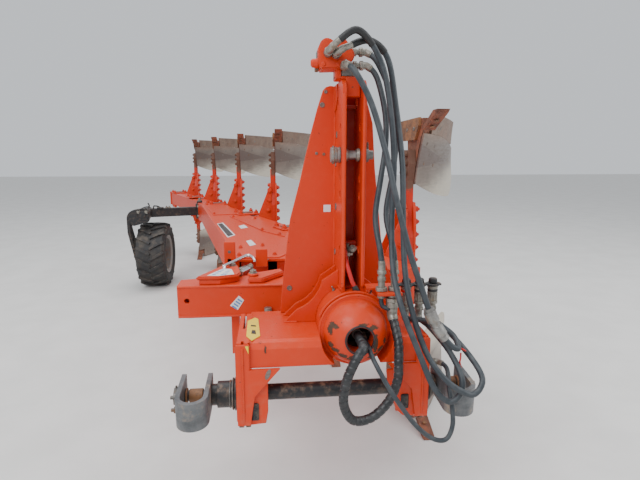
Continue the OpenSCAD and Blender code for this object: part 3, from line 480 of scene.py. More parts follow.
def hoses():
    for key, route in ROUTES.items():
        r = {"g": THIN_R, "wrap": GUARD_R}.get(key, HOSE_R)
        if key == "wrap":
            line = resample(spline(route, 12), STEP)
            b = Build("hose_bundle", WRAP)
            b.pipe(line, r - 2.2, 16)
            b.pipe(line, guard(line), 24)
        else:
            line = spline(route, 6)
            b = Build("hose_line_" + key, HOSE)
            b.pipe(line, r, 14)
        o = b.done(50)
        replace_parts(o, "hose_" + key)
        # a crimped ferrule and a nut on each end
        ends = Build("hose_ends_" + key, ZINC)
        for pts in (line, line[::-1]):
            near = resample(pts, 6)[:8]
            ends.pipe(near, r + 2.6, 16)
            ends.pipe(near[7:8] + [near[7] + (near[7] - near[6]).normalized() * 5], r + 1.4, 16)
            if key != "wrap":
                ends.hexa(pts[0], near[1] - near[0], 2 * r + 9, 13)
        if key in "ab":
            ends.pipe(resample(line, 8)[:10], r + 0.8, 16)
        pieces = [ends.done(40)]
        if key in "ab":
            sleeve = Build("hose_sleeve_" + key, GRIP)
            sleeve.pipe(resample(line, 8)[9:27], r + 1.8, 16)
            pieces.append(sleeve.done(50))
        if key == "c":
            # the quick coupling near the lowest part of the rise
            body = [q for q in resample(line, 6) if 836 < q.z < 945 and q.x > 200 and q.y < -200]
            coupling = Build("hose_coupling", GREY)
            coupling.pipe(body, 17, 20)
            coupling.pipe(body[2:9], 21, 20)
            coupling.pipe(body[11:-3], 20, 20)
            pieces.append(coupling.done(40))


hoses()


# Paint on the CAD pieces
PAINTED = (
    (HOUSING, "bearing_housing cross_member cheek_left cheek_right"),
    (ORANGE, "saddle tower_left tower_right tower_wings hose_rack cross_arm carrier main_beam deck beam_end"),
    (ORANGE, "leg_brackets hose_block"), (BLACK, "turnover_barrel hitch_shaft wheel_arm wheel_leg wheel_hub"),
    (LEG, "legs_upper legs_lower"), (POINT, "frogs_upper frogs_lower points_upper points_lower"),
    (RUST, "landsides_upper landsides_lower"), (SHARE, "shares_upper shares_lower"), (BOARD, "boards_upper"),
    (BOARD_LOW, "boards_lower"), (DARK, "turnover_shaft wheel_axle"), (ZINC, "couplers turnbuckles"),
    (CHROME, "turnover_rod"), (GREY, "top_link_pin"), (YOKE, "link_yokes"), (RIM, "rim"), (TYRE, "tyre"),
)
for mat, nodes in PAINTED:
    for node in nodes.split():
        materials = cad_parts[node].data.materials
        materials.clear()
        materials.append(mat)


# Bodies: the sizes of the part's source
PAIRS, STEP_X, STEP_Y, LEAD_X, LEAD_Y = 6, 355, 900, 450, 880
BOARD_W, BOARD_H, BOARD_T, SHARE_T, SHIN_Y, LEG_BACK, LEG_T = 400, 450, 9, 12, 110, 380, 32


def surface(x, z):
    """How far back the working surface lies at x out from the shin and z above the share's edge."""
    return (SHIN_Y + 0.9 * z - 0.0009 * z * z + x * (1.35 - 0.7 * z / BOARD_H)
            + x * x * (0.0011 + 0.0001 * z / BOARD_H))


def surface_at(x, z, off):
    """A point off millimetres behind the working surface."""
    n = Vector((surface(x - .5, z) - surface(x + .5, z), 1, surface(x, z - .5) - surface(x, z + .5))).normalized()
    return Vector((x, surface(x, z), z)) + off * n


def seam(x):
    """The height of the seam between share and mouldboard."""
    return 100 + 60 * (x / BOARD_W) ** 3


def board_high(x):
    """The mouldboard's upper edge, lower at the shin and at the tail."""
    return (BOARD_H - 100 * (1 - min(1, 1.25 * x / BOARD_W)) ** 1.6
            - 120 * max(0, (x / BOARD_W - 0.78) / 0.22) ** 2)


def sheet_mesh(x0, x1, nx, nz, thick, low, high):
    """Closed curved plate on the working surface, with u and v over its width and height."""
    bm = bmesh.new()
    uv = bm.loops.layers.uv.new("uv")
    grid = {}
    for s, off in enumerate((0, thick)):
        for i in range(nx + 1):
            for j in range(nz + 1):
                x = x0 + (x1 - x0) * i / nx
                z = low(x) + (high(x) - low(x)) * j / nz
                grid[s, i, j] = (bm.verts.new(surface_at(x, z, off)), (x / BOARD_W, z / BOARD_H))

    def face(*keys):
        f = bm.faces.new([grid[k][0] for k in keys])
        for loop, k in zip(f.loops, keys):
            loop[uv].uv = grid[k][1]
    for i in range(nx):
        for j in range(nz):
            face((0, i, j), (0, i + 1, j), (0, i + 1, j + 1), (0, i, j + 1))
            face((1, i, j), (1, i, j + 1), (1, i + 1, j + 1), (1, i + 1, j))
        face((0, i, 0), (1, i, 0), (1, i + 1, 0), (0, i + 1, 0))
        face((0, i, nz), (0, i + 1, nz), (1, i + 1, nz), (1, i, nz))
    for j in range(nz):
        face((0, 0, j), (0, 0, j + 1), (1, 0, j + 1), (1, 0, j))
        face((0, nx, j), (1, nx, j), (1, nx, j + 1), (0, nx, j + 1))
    return bm


def body_sites(upper):
    """Where each body of a row stands; the upper row is the lower one's mirror in the turnover axis."""
    for i in range(PAIRS):
        m = Matrix.Translation((LEAD_X - STEP_X * i + LEG_T / 2, LEAD_Y + STEP_Y * i - LEG_BACK, 0))
        yield Matrix.Translation((0, 0, 2 * AXIS_Z)) @ Matrix.Diagonal((1, 1, -1, 1)) @ m if upper else m


def spread(name, bm, mat, upper, replaced):
    """One mesh with a copy of bm at each body of the upper or lower row, in place of a node."""
    one = bpy.data.meshes.new("one")
    bm.to_mesh(one)
    total = bmesh.new()
    for m in body_sites(upper):
        before = len(total.verts)
        total.from_mesh(one)
        total.verts.ensure_lookup_table()
        for v in total.verts[before:]:
            v.co = m @ v.co
    bpy.data.meshes.remove(one)
    if upper:
        bmesh.ops.reverse_faces(total, faces=total.faces)
    total.transform(TO_FRAME)
    mesh = bpy.data.meshes.new(name)
    total.to_mesh(mesh)
    total.free()
    bm.free()
    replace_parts(place(name, mesh, mat, "frame"), replaced)


def bodies():
    for upper, word in ((True, "upper"), (False, "lower")):
        bm = sheet_mesh(10, BOARD_W, 26, 16, BOARD_T, lambda x: seam(x) + SEAT, board_high)
        spread("mouldboards_" + word, bm, BOARD if upper else BOARD_LOW, upper, "boards_" + word)
        bm = sheet_mesh(73, BOARD_W * 0.95, 18, 4, SHARE_T, lambda x: 7,
                        lambda x: seam(x) - SEAT - 30 * max(0, (x / BOARD_W - 0.85) / 0.15) ** 2)
        spread("share_blades_" + word, bm, SHARE if upper else BOARD_LOW, upper, "shares_" + word)


bodies()


# Headstock details
def arc(cx, cz, r, a0, a1, n=8):
    angles = [math.radians(a0 + (a1 - a0) * k / n) for k in range(n + 1)]
    return [(cx + r * math.cos(a), cz + r * math.sin(a)) for a in angles]


def shaft(x):
    """A point on the hitch shaft's axis."""
    return x, -60, 600


def pin(x):
    """A point on the top link pin's axis."""
    return x, 50, 1434


def hose_block():
    b = Build("hose_block_body", ORANGE)
    outline = ([(-122, 1742), (-114, 1722), (-18, 1727), (-12, 1740)] + arc(-28, 1769, 30, -55, 50)
               + [(-18, 1800)] + arc(-44, 1799, 25, 15, 150) + arc(-91, 1795, 27, 50, 165) + [(-122, 1788)])
    b.slab(outline, 26, 114, "y", 4, segments=2)
    b.cyl((-146, 52, 1744), (-118, 52, 1744), 14, 5, 17)
    b.cyl((-50, 27, 1741), (-50, 21, 1741), 12, 2)
    b.cyl((-104, 27, 1738), (-104, 23, 1738), 7, 1.5)
    b.box((-62, 40, 1694), (-42, 100, 1727), 3)
    b.box((-62, 44, 1690), (24, 98, 1703), 3)
    b.box((-26, 36, 1632), (26, 104, 1700), 3)
    for y in (46, 94):
        b.cyl((-44, y, 1822), (-44, y, 1826), 9, 1)
        b.cyl((-91, y, 1820), (-91, y, 1824), 9, 1)
    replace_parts(b.done(), "hose_block")
    d = Build("hose_block_shadow", DARK)
    d.box((-124, 58, 1748), (-121, 92, 1786), 1)
    d.box((-40, 44, 1702), (20, 98, 1728), 2)
    d.cyl((-130, 80, 1731), (-118, 80, 1731), 12, 2)
    for x, z in ((-90, 1773), (-62, 1769), (-34, 1731)):
        d.cyl((x, 26, z), (x, 19, z), 15, 1)
    d.done()
    z = Build("block_unions", ZINC)
    for x, zz in ((-90, 1773), (-62, 1769), (-34, 1731)):
        z.hexa((x, 19, zz), -Y, 27, 14)
    for y, zz in ((65, 1741), (80, 1789)):
        z.hexa((2, y, zz), X, 26, 14)
        z.cyl((16, y, zz), (27, y, zz), 10, 1)
    for x, y, zz in ((-44, 46, 1826), (-91, 94, 1824)):
        z.hexa((x, y, zz), Z, 15, 3)
    z.done()


# The tower: the outer face of its side plates, and the front of its wings
FACE_X, WING_Y = 42, 186


def wings():
    """The tower's two wings: in the photograph the left one is wider than the right one."""
    left = [(-43, 1687), (-62, 1689), (-78, 1684), (-89, 1672), (-110, 1606), (-132, 1526), (-155, 1432), (-177, 1337),
            (-217, 1187), (-232, 1073), (-253, 895), (-258, 827), (-258, 810.5)] + arc(0, AXIS_Z, 132.5, 184, 109, 12)
    right = [(43, 1687), (60, 1680), (72, 1661), (103, 1553), (115, 1380), (146, 1102), (168, 1000), (206, 905),
             (250, 860), (250, 810.5)] + arc(0, AXIS_Z, 132.5, -4, 71, 12)
    b = Build("tower_wing_plates", ORANGE)
    for outline in (left, right):
        b.slab(outline, WING_Y, WING_Y + 12, "y")
    # plates that join them to the side plates' tops
    for x in (-46, 42.4):
        b.slab([(108, 1640), (150, 1600), (190, 1590), (190, 1687), (120, 1687)], x, x + 3.6, "x", 0.8)
    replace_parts(b.done(), "tower_wings")


def tower():
    wings()
    # the web inside the tower, in the darker orange: painted shade
    b = Build("tower_inner_web", ORANGE_SHADE)
    b.box((-27.5, 150, 950), (27.5, 160, 1660), 1)
    b.box((-27.5, 30, 948), (27.5, 150, 958), 1)
    b.box((-27.5, 120, 1600), (27.5, 150, 1612), 1)
    b.done()
    w = Build("tower_welds", ORANGE)
    rng = random.Random(3)

    def bead(a, c, r=4.5):
        """An uneven weld bead from a to c."""
        a, c = Vector(a), Vector(c)
        n = max(4, int((c - a).length / 9))
        w.pipe([a.lerp(c, k / n) + Vector([rng.uniform(-.5, .5) for _ in range(3)]) for k in range(n + 1)],
               [r * rng.uniform(0.85, 1.15) for _ in range(n + 1)], 7)
    for s in (-1, 1):
        bead((s * 43, WING_Y, 955), (s * 43, WING_Y, 1640))
        bead((s * 43, 4, 952), (s * 43, 180, 948), 4)
        bead((s * 46, 185, 812), (s * 240, 185, 812), 4)
        bead((s * 29, 150, 960), (s * 29, 150, 1590), 3)
    for y in (70, 164):
        bead((-248, y, 812), (-200, y, 812), 4)
        bead((120, y, 812), (178, y, 812), 4)
    for z in (722, 808):
        bead((-373, -116, z), (-373, 190, z), 4)
        bead((209, -116, z), (209, 190, z), 4)
    # rolled lip down the front edges of both side plates
    for x in (-35, 35):
        w.pipe([(x, 2, 962), (x, 0, 1200), (x, 0, 1640)], 7.4)
    w.done()
    # painted shade: dark rims, discs and a slot drawn on the plates where their holes are
    d = Build("tower_hole_shade", DARK)
    for x, z, r in ((-78, 1667, 5), (-91, 1619, 8), (-113, 1440, 4), (-85, 1437, 4), (-222, 912, 9), (150, 905, 9)):
        d.ring((x, WING_Y - 0.5, z), Y, r, 2.2, 20, 6)
        d.cyl((x, WING_Y + 0.2, z), (x, WING_Y - 1.4, z), r - 1, sides=16)
    slot = arc(120, 935, 9, 180, 360, 6) + arc(120, 972, 9, 0, 180, 6)
    for s in (-1, 1):
        for y, z, r in ((134, 1507, 11), (156, 1400, 9), (150, 1240, 12), (168, 1060, 11)):
            d.ring((s * (FACE_X + 0.4), y, z), X, r, 2.4, 20, 6)
            d.cyl((s * (FACE_X - 1), y, z), (s * (FACE_X + 0.7), y, z), r - 1, sides=16)
        d.slab(slot, *sorted((s * (FACE_X + 0.6), s * (FACE_X + 1.026))), "x", 0.2)
    d.done()
    # washers, spool and lock pin of the top link pin
    g = Build("top_pin_parts", DARK)
    for x0, x1, r in ((-48, -42.4, 29), (-54, -48.3, 25), (-60, -54.3, 29), (42.4, 49, 27)):
        g.cyl(pin(x0), pin(x1), r, 1.2)
    g.ring(pin(-66), X, 28, 3)
    g.cyl((-67, 50, 1402), (-67, 50, 1466), 4.5, 1)
    g.ring((56, 50, 1466), X, 12, 2.5, 20)
    g.cyl((52, 50, 1408), (52, 50, 1458), 4, 1)
    g.done()
    z = Build("top_pin_spool", ZINC)
    z.cyl(pin(-26), pin(-14), 25, 1.5, 21)
    z.cyl(pin(14), pin(26), 21, 1.5, 25)
    z.done()


def lever():
    r = Build("lock_lever", RED)
    r.pipe([(-22, 40, 1075), (-20, 5, 1040), (-4, -6, 984), (8, -10, 958)], 8, 12)
    r.cyl((-27, 40, 1075), (-17, 40, 1075), 20, 2)
    r.done()
    g = Build("lock_lever_grip", GRIP)
    g.pipe([(4, -9, 968), (9, -11, 955), (22, -15, 930), (30, -18, 912), (31, -18, 909)], [9, 12, 12.5, 11.5, 8], 14)
    for t in (0.25, 0.45, 0.65, 0.85):
        p = Vector((9, -11, 955)).lerp(Vector((30, -18, 912)), t)
        g.ring(p, (21, -7, -43), 12.4, 1.2, 20, 6)
    g.done()
    # the latch inside the tower, in the darker orange: painted shade
    k = Build("lever_latch", ORANGE_SHADE)
    k.box((-27, 28, 1040), (-20, 90, 1120), 2)
    k.box((4, 60, 1085), (27, 120, 1100), 2)
    k.cyl((-27, 95, 1105), (27, 95, 1105), 13, 1.5)
    k.done()
    z = Build("lever_bolts", ZINC)
    z.bolt((-16.5, 40, 1075), X, 18, 9)
    z.bolt((8, 59, 1092), -Y, 20, 10)
    z.cyl((-8, 70, 1000), (-8, 70, 1110), 6, 1)
    z.done()


def housing():
    b = Build("housing_collars", ORANGE)
    b.ring((0, -56, AXIS_Z), Y, 126, 5, 64)
    b.ring((0, 206, AXIS_Z), Y, 124, 6, 64)
    for y0, y1, r in ((-44, -32, 137), (176, 185, 150)):
        ring_out = arc(0, AXIS_Z, r, 20, 160, 28)
        ring_in = arc(0, AXIS_Z, 128.6, 160, 20, 28)
        b.slab(ring_out + ring_in, y0, y1, "y")
    b.done(40)
    d = Build("housing_seal", GRIP)
    d.ring((0, -160, AXIS_Z), Y, 48.5, 4.6, 48, 10)
    d.ring((0, 208, AXIS_Z), Y, 98, 5, 56)
    d.done()
    z = Build("grease_points", ZINC)
    for x, y, zz, n in ((60, -10, 933, (0.45, 0, 0.9)), (-60, 60, 933, (-0.45, 0, 0.9)), (-36, 240, 1500, -X)):
        p, n = Vector((x, y, zz)), Vector(n).normalized()
        z.hexa(p, n, 12, 6)
        z.cyl(p + n * 6, p + n * 14, 3.5, 0.5, sides=12)
        z.ball(p + n * 16, 4, sides=12)
    z.done()


def hitch():
    o = Build("cheek_trim", ORANGE)
    for s, x in ((-1, -395), (1, 231)):
        # return flanges on both long edges of the channel and a doubler round the shaft
        o.pipe([(x, -133, 796), (x, -133, 700), (x, -133, 560), (x, -130, 525)], 4, 8)
        for xx in (x - 21, x + 21):
            o.pipe([(xx, -126, 800), (xx, -126, 640), (xx, -126, 530)], 4, 8)
        o.ring(shaft(x + s * 21), X, 47, 5, 40)
        o.ring(shaft(x - s * 21), X, 40, 5, 40)
        for z in (652, 694, 742, 786):
            o.box((x + s * 20 - 3, -118, z - 9), (x + s * 20 + 3, -96, z + 9))
    # inner flanges of the cheeks, seen behind the hitch shaft's stops
    o.slab([(-374, 508), (-320, 512), (-312, 560), (-312, 668), (-374, 690)], -118, -108, "y", 2)
    o.slab([(210, 700), (104, 690), (108, 648), (124, 590), (142, 536), (168, 512), (210, 510)], -118, -108, "y", 2)
    o.done()
    k = Build("cheek_dark", BLACK)
    for x0, x1, z0, z1 in ((-371, -344, 526, 590), (158, 186, 541, 596)):
        k.box((x0, -125, z0), (x1, -66, z1), 4)
        for z in (z0 + 14, z1 - 14):
            k.cyl(((x0 + x1) / 2, -127, z), ((x0 + x1) / 2, -124, z), 6, 1)
    k.done()
    # the cheeks' inner faces, in the darker orange: painted shade
    i = Build("cheek_inner", ORANGE_SHADE)
    for x0, x1 in ((-374.6, -340), (155, 210.6)):
        i.box((x0, -66, 500), (x1, -54, 560), 2)
    i.done()
    # painted shade: a dark oval sheet on each cheek where its hole is
    e = Build("cheek_hole_shade", DARK)
    for x, z, sx in ((-311, 700, 1), (150, 690, -1)):
        turn = Matrix.Rotation(math.radians(22 * sx), 4, "Y")
        e.slab([(8 * math.cos(a), 20 * math.sin(a)) for a in turns(20)],
               -0.8, 0.8, "y", 0.2, Matrix.Translation((x, -132.4, z)) @ turn)
    e.done()
    # yokes: the ball and spacers on each link pin, nuts, and the keeper plate
    for s, cx in ((-1, -562.5), (1, 352.5)):
        word = "left" if s < 0 else "right"
        g = Build("link_spool_" + word, RUST)
        g.cyl(shaft(cx - 24), shaft(cx + 24), 24, 2)
        g.cyl(shaft(cx - 36.5), shaft(cx - 30), 27, 1.5)
        g.cyl(shaft(cx + 30), shaft(cx + 36.5), 27, 1.5)
        g.done()
        z = Build("link_nuts_" + word, DARK)
        z.cyl(shaft(cx + s * 54.4), shaft(cx + s * 60), 34, 1.5)
        z.hexa(shaft(cx + s * 60), s * X, 58, 16, 2)
        for zz in (622, 576):
            z.bolt((cx + s * 54.4, -110, zz), s * X, 22, 12)
        z.cyl((cx + s * 68, -60, 560), (cx + s * 68, -60, 640), 4, 1)
        z.done()
    s = Build("shaft_rings", DARK)
    for x, r in ((-434, 54), (-444, 47), (-476, 38), (-488, 34), (270, 54), (281, 44)):
        s.ring(shaft(x), X, r - 1, 3, 44)
    for x in (-368, 204):
        s.cyl(shaft(x), shaft(x + (6 if x < 0 else -6)), 40, 1.5)
    s.done()


def labels():
    y = Build("label_a", YELLOW)
    y.slab([(-359, 131), (-346, 114), (-336, -63), (-364, -104), (-384, -60), (-386, 96)], 810.3, 813.2, "z", 0.4)
    y.slab([(-386, 804), (-374, 804), (-374, 776)], -133.4, -132.3, "y", 0.2)
    y.done()
    k = Build("label_marks", DECAL)
    k.slab([(-368, -40), (-350, -48), (-354, -8), (-366, -4)], 812.9, 813.7, "z", 0.2)
    k.slab([(-372, 34), (-352, 28), (-354, 44), (-372, 50)], 812.9, 813.7, "z", 0.2)
    k.done()
    w = Build("label_b", WHITE, "frame")
    w.slab([(-432, 843), (-411, 822), (-438, 780), (-471, 800)], 333.6, 335.2, "y", 0.3)
    w.done()
    b = Build("label_b_mark", BLUE, "frame")
    for k in range(4):
        outline = [(x - 8 * k, z - 10 * k) for x, z in ((-436, 832), (-418, 818), (-421, 812), (-440, 826))]
        b.slab(outline, 333, 334.2, "y", 0.1)
    b.done()
    Build("label_c", WHITE).box((-86, 184.6, 1215), (-58, 186.4, 1243), 0.3).done()


# Couplers and unions
def hose_rack():
    o = Build("rack_plate", ORANGE)
    o.slab([(42.6, 12), (42.6, -40), (94, -40), (70, -62), (66, -125), (152, -125), (159, -12), (160, 12)],
           960, 970, "z")
    o.box((42.6, -30, 930), (52, 10, 960), 2)
    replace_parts(o.done(), "hose_rack")
    k = Build("rack_bar", BLACK)
    k.box((150, -12, 961), (330, 12, 969), 2)
    for x in (200, 250, 300):
        k.ring((x, 0, 965), Z, 23, 4)
        k.cyl((x, 0, 970), (x, 0, 988), 17, 3, 15)
    k.done()
    z = Build("coupler_bodies", ZINC)
    for x in (200, 250, 300):
        for z0, z1, r in ((880.4, 892, 14), (892, 902, 19.5), (902, 930, 17), (930, 936, 19.5), (936, 952, 18),
                          (952, 959.6, 19.8)):
            z.cyl((x, 0, z0), (x, 0, z1), r, 1.2, sides=28)
        for a in turns(12):
            at = x + 17.4 * math.cos(a), 17.4 * math.sin(a)
            z.cyl((*at, 904), (*at, 928), 1.3, sides=6)
    for x in (85, 130):
        z.hexa((x, -90, 970.5), Z, 38, 14, 1.5)
        z.cyl((x, -90, 984), (x, -90, 1006), 12, 1)
        z.hexa((x, -90, 1006), Z, 27, 14)
        z.cyl((x, -90, 1019), (x, -90, 1030), 11.5, 1)
    z.cyl((125, -90, 910.4), (125, -90, 930), 22.5, 2)
    z.hexa((125, -90, 930), Z, 44, 16, 2)
    z.cyl((125, -90, 946), (125, -90, 959.6), 18, 2)
    z.cyl((251.4, -90, 700), (262, -90, 700), 10.8, 1)
    z.hexa((262, -90, 700), X, 21, 11)
    z.cyl((273, -90, 700), (276.2, -90, 700), 9, 0.5)
    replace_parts(z.done(), "couplers")
    # dust caps, coloured rings and the red tie
    c = Build("coupler_caps", RED)
    c.cyl((200, 0, 938), (200, 0, 948), 19.4, 1.5)
    c.ring((338, -196, 792), (0.5, 0.2, 0.8), 16, 2.6, 24)
    c.pipe([(338, -196, 776), (334, -206, 764), (330, -210, 750), (335, -206, 736), (340, -200, 726)], 3, 8)
    c.done()
    g = Build("coupler_bands", GRIP)
    for x in (250, 300):
        g.cyl((x, 0, 938), (x, 0, 948), 19.2, 1.5)
    g.pipe([(300, 24, 940), (312, 38, 920), (318, 44, 880), (310, 36, 850)], 2.4, 8)
    g.done()
    # short elbows below the union plate that join the bundle's gland
    e = Build("union_elbows", ZINC)
    for x in (85, 130):
        e.hexa((x, -90, 945), Z, 26, 14)
    e.done()
    p = Build("union_bridges", HOSE)
    p.pipe(spline([(85, -90, 946), (85, -90, 935), (90, -92, 916), (108, -98, 908), (112, -98, 912), (114, -96, 918),
                   (115, -96, 924)], 5), 8, 12)
    p.done()


# Turnover cylinder
def cylinder():
    # from the eye on the tower towards the crank's pin
    a = Vector((0, 260, 1500))
    t = (Vector((160, 260, AXIS_Z)) - a).normalized()
    o = Build("barrel_body", BLACK)
    o.cyl(a + t * 30, a + t * 396, 28, 1, sides=40)
    o.cyl(a + t * 396, a + t * 417, 30, 2, sides=40)
    o.cyl(a + t * 24, a + t * 40, 29.5, 3, sides=40)
    o.cyl((0, 199, 1500), (0, 284, 1500), 37, 3, sides=40)
    o.cyl((-46, 214, 1500), (46, 214, 1500), 14, 1)
    side = t.cross(Y).normalized()
    for d in (62, 372):
        o.cyl(a + t * d + side * 20, a + t * d + side * 27.9, 9, 1)
    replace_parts(o.done(), "turnover_barrel")
    z = Build("barrel_ports", ZINC)
    for d in (62, 372):
        p = a + t * d + Vector((0, -20, 0))
        z.hexa(p, -Y, 22, 12)
        z.cyl(p + Vector((0, -12, 0)), p + Vector((0, -20, 0)), 8, 1)
    z.bolt((0, 284.2, 1500), Y, 34, 0.9, 0, False)
    z.done()


hose_block()
tower()
lever()
housing()
hitch()
labels()
hose_rack()
cylinder()


# Arm, deck and beam
def front_arm():
    o = Build("arm_front_parts", ORANGE, "frame")
    # slanted stop block on the arm, upright lug plates and the clamp behind them
    o.slab([(-612, 345), (-518, 560), (-470, 574), (-448, 566), (-426, 410), (-436, 372), (-520, 342)],
           911, 927, "z", 5, segments=2)
    o.slab([(-600, 350), (-566, 446), (-440, 462), (-436, 392), (-510, 347)], 890.3, 911, "z", 3)
    o.box((-523, 694, 846), (-468, 710, 1012), 2)
    o.box((-510, 694, 846), (-486, 760, 930), 3)
    o.box((-368, 690, 884), (-310, 702, 974), 3)
    o.box((-362, 702, 912.4), (-316, 790, 926), 3)
    o.slab([(-392, 356), (-392, 440), (-250, 522), (-236, 470), (-330, 350)], 890.3, 914, "z", 5, segments=2)
    o.cyl((-372, 396, 914), (-372, 396, 926), 24, 4)
    o.box((-470, 372, 566), (-436, 388, 750), 2)
    o.box((-470, 388, 700), (-436, 440, 750), 2)
    for z in (755, 885):
        o.pipe([(-688, 338, z), (-400, 334, z), (190, 334, z)], 5, 8)
    o.done()
    # a darker orange web across the gap in front of the deck: painted shade
    f = Build("deck_front_web", ORANGE_SHADE, "frame")
    for x0, x1 in ((-444, -308), (-262, 140)):
        f.box((x0, 744, 738), (x1, 752, 902), 1)
    f.done()
    # painted shade: dark patches on the arm where its open end, a hole and a gap are
    h = Build("arm_hole_shade", DARK, "frame")
    h.box((-692, 365, 800), (-689, 425, 842), 1)
    h.cyl((-497, 693.4, 962), (-497, 710.6, 962), 8, sides=16)
    h.slab([(-366, 706), (-314, 706), (-300, 738), (-380, 738)], 912.2, 914, "z", 0.5)
    h.done()
    c = Build("lever_rod", CHROME, "frame")
    c.pipe(spline([(-503, 478, 926), (-503, 484, 934), (-498, 500, 940), (-428, 650, 944), (-410, 680, 946),
                   (-394, 676, 944), (-378, 644, 938), (-372, 630, 928)], 5), 7.5, 12)
    for y0 in (0, 34):
        c.cyl((-440, 476 + y0, 904), (-386, 600 + y0, 904), 9, 1)
    c.done()
    z = Build("arm_fasteners", ZINC, "frame")
    z.bolt((-310, 322, 762), -Z, 40, 16, 0)
    z.cyl((-310, 322, 762), (-310, 322, 790), 16, 1)
    for y0 in (0, 34):
        for t in (0.05, 0.85):
            p = Vector((-440, 476 + y0, 904)).lerp(Vector((-386, 600 + y0, 904)), t)
            z.hexa(p, (54, 124, 0), 27, 9)
    z.bolt((-372, 396, 926), Z, 26, 10, 4)
    z.bolt((-470, 540, 927), Z, 24, 9, 4)
    for x in (-100, -40, 40, 100):
        for zz in (856, 784):
            z.bolt((x, 530, zz), Y, 30, 14, 6)
    z.done()
    w = Build("label_d", WHITE, "frame")
    w.slab([(-566, 362), (-520, 352), (-452, 376), (-470, 470), (-510, 488)], 927, 928, "z", 0.3)
    w.done()
    b = Build("label_d_mark", BLUE, "frame")
    for k in range(4):
        left = [(x + 9 * k, y + 26 * k) for x, y in ((-548, 372), (-532, 368), (-528, 380), (-544, 384))]
        right = [(x + a * k, y + c * k) for x, y, a, c in ((-510, 366, 7, 26), (-486, 366, 5, 26), (-484, 378, 5, 24),
                                                           (-507, 378, 7, 24))]
        for outline in (left, right):
            b.slab(outline, 927.6, 928.4, "z", 0.1)
    b.done()


def beam_frame(i):
    """The beam's middle beside body pair i, turned along the beam."""
    base = Vector((LEAD_X - 250 - STEP_X * i, LEAD_Y + STEP_Y * i, AXIS_Z))
    return Matrix.Translation(base) @ Matrix.Rotation(math.atan2(STEP_X, STEP_Y), 4, "Z")


def beam_details():
    z = Build("beam_bolts", ORANGE, "frame")
    o = Build("beam_clamps", ORANGE, "frame")
    d = Build("beam_straps", DARK, "frame")
    for i in range(PAIRS):
        top = 104 if i < PAIRS - 1 else 92
        for up in (1, -1):
            to_axis = Matrix.Translation((0, 0, AXIS_Z))
            z.at = o.at = d.at = to_axis @ Matrix.Diagonal((1, 1, up, 1)) @ to_axis.inverted() @ beam_frame(i)
            # clamp plate over the beam with four studs
            o.box((-92, -95, top - 11.5), (96, 95, top), 3)
            for x in (-70, 74):
                for y in (-70, 70):
                    z.bolt((x, y, top), Z, 30, 16, 12)
            d.box((-60, -30, top), (60, 30, top + 6), 2)
    for b in (z, o, d):
        b.done()
    # leg bracket bolts: two rows through the gusset plates
    z = Build("bracket_bolts", ORANGE, "frame")
    w = Build("bracket_welds", ORANGE, "frame")
    for i in range(PAIRS):
        lx, ly = LEAD_X - STEP_X * i, LEAD_Y + STEP_Y * i
        for up in (1, -1):
            for dx, dz in ((-34, 300), (-34, 220), (-46, 130), (-100, 44)):
                for s in (-1, 1):
                    z.bolt((lx + dx, ly + 72 * s, AXIS_Z + up * dz), s * Y, 27, 13, 9)
            for y in (ly - 60, ly + 60):
                w.pipe([(lx - LEG_T / 2, y, AXIS_Z + up * 90), (lx - LEG_T / 2, y, AXIS_Z + up * 320)], 4, 7)
    z.done()
    w.done()


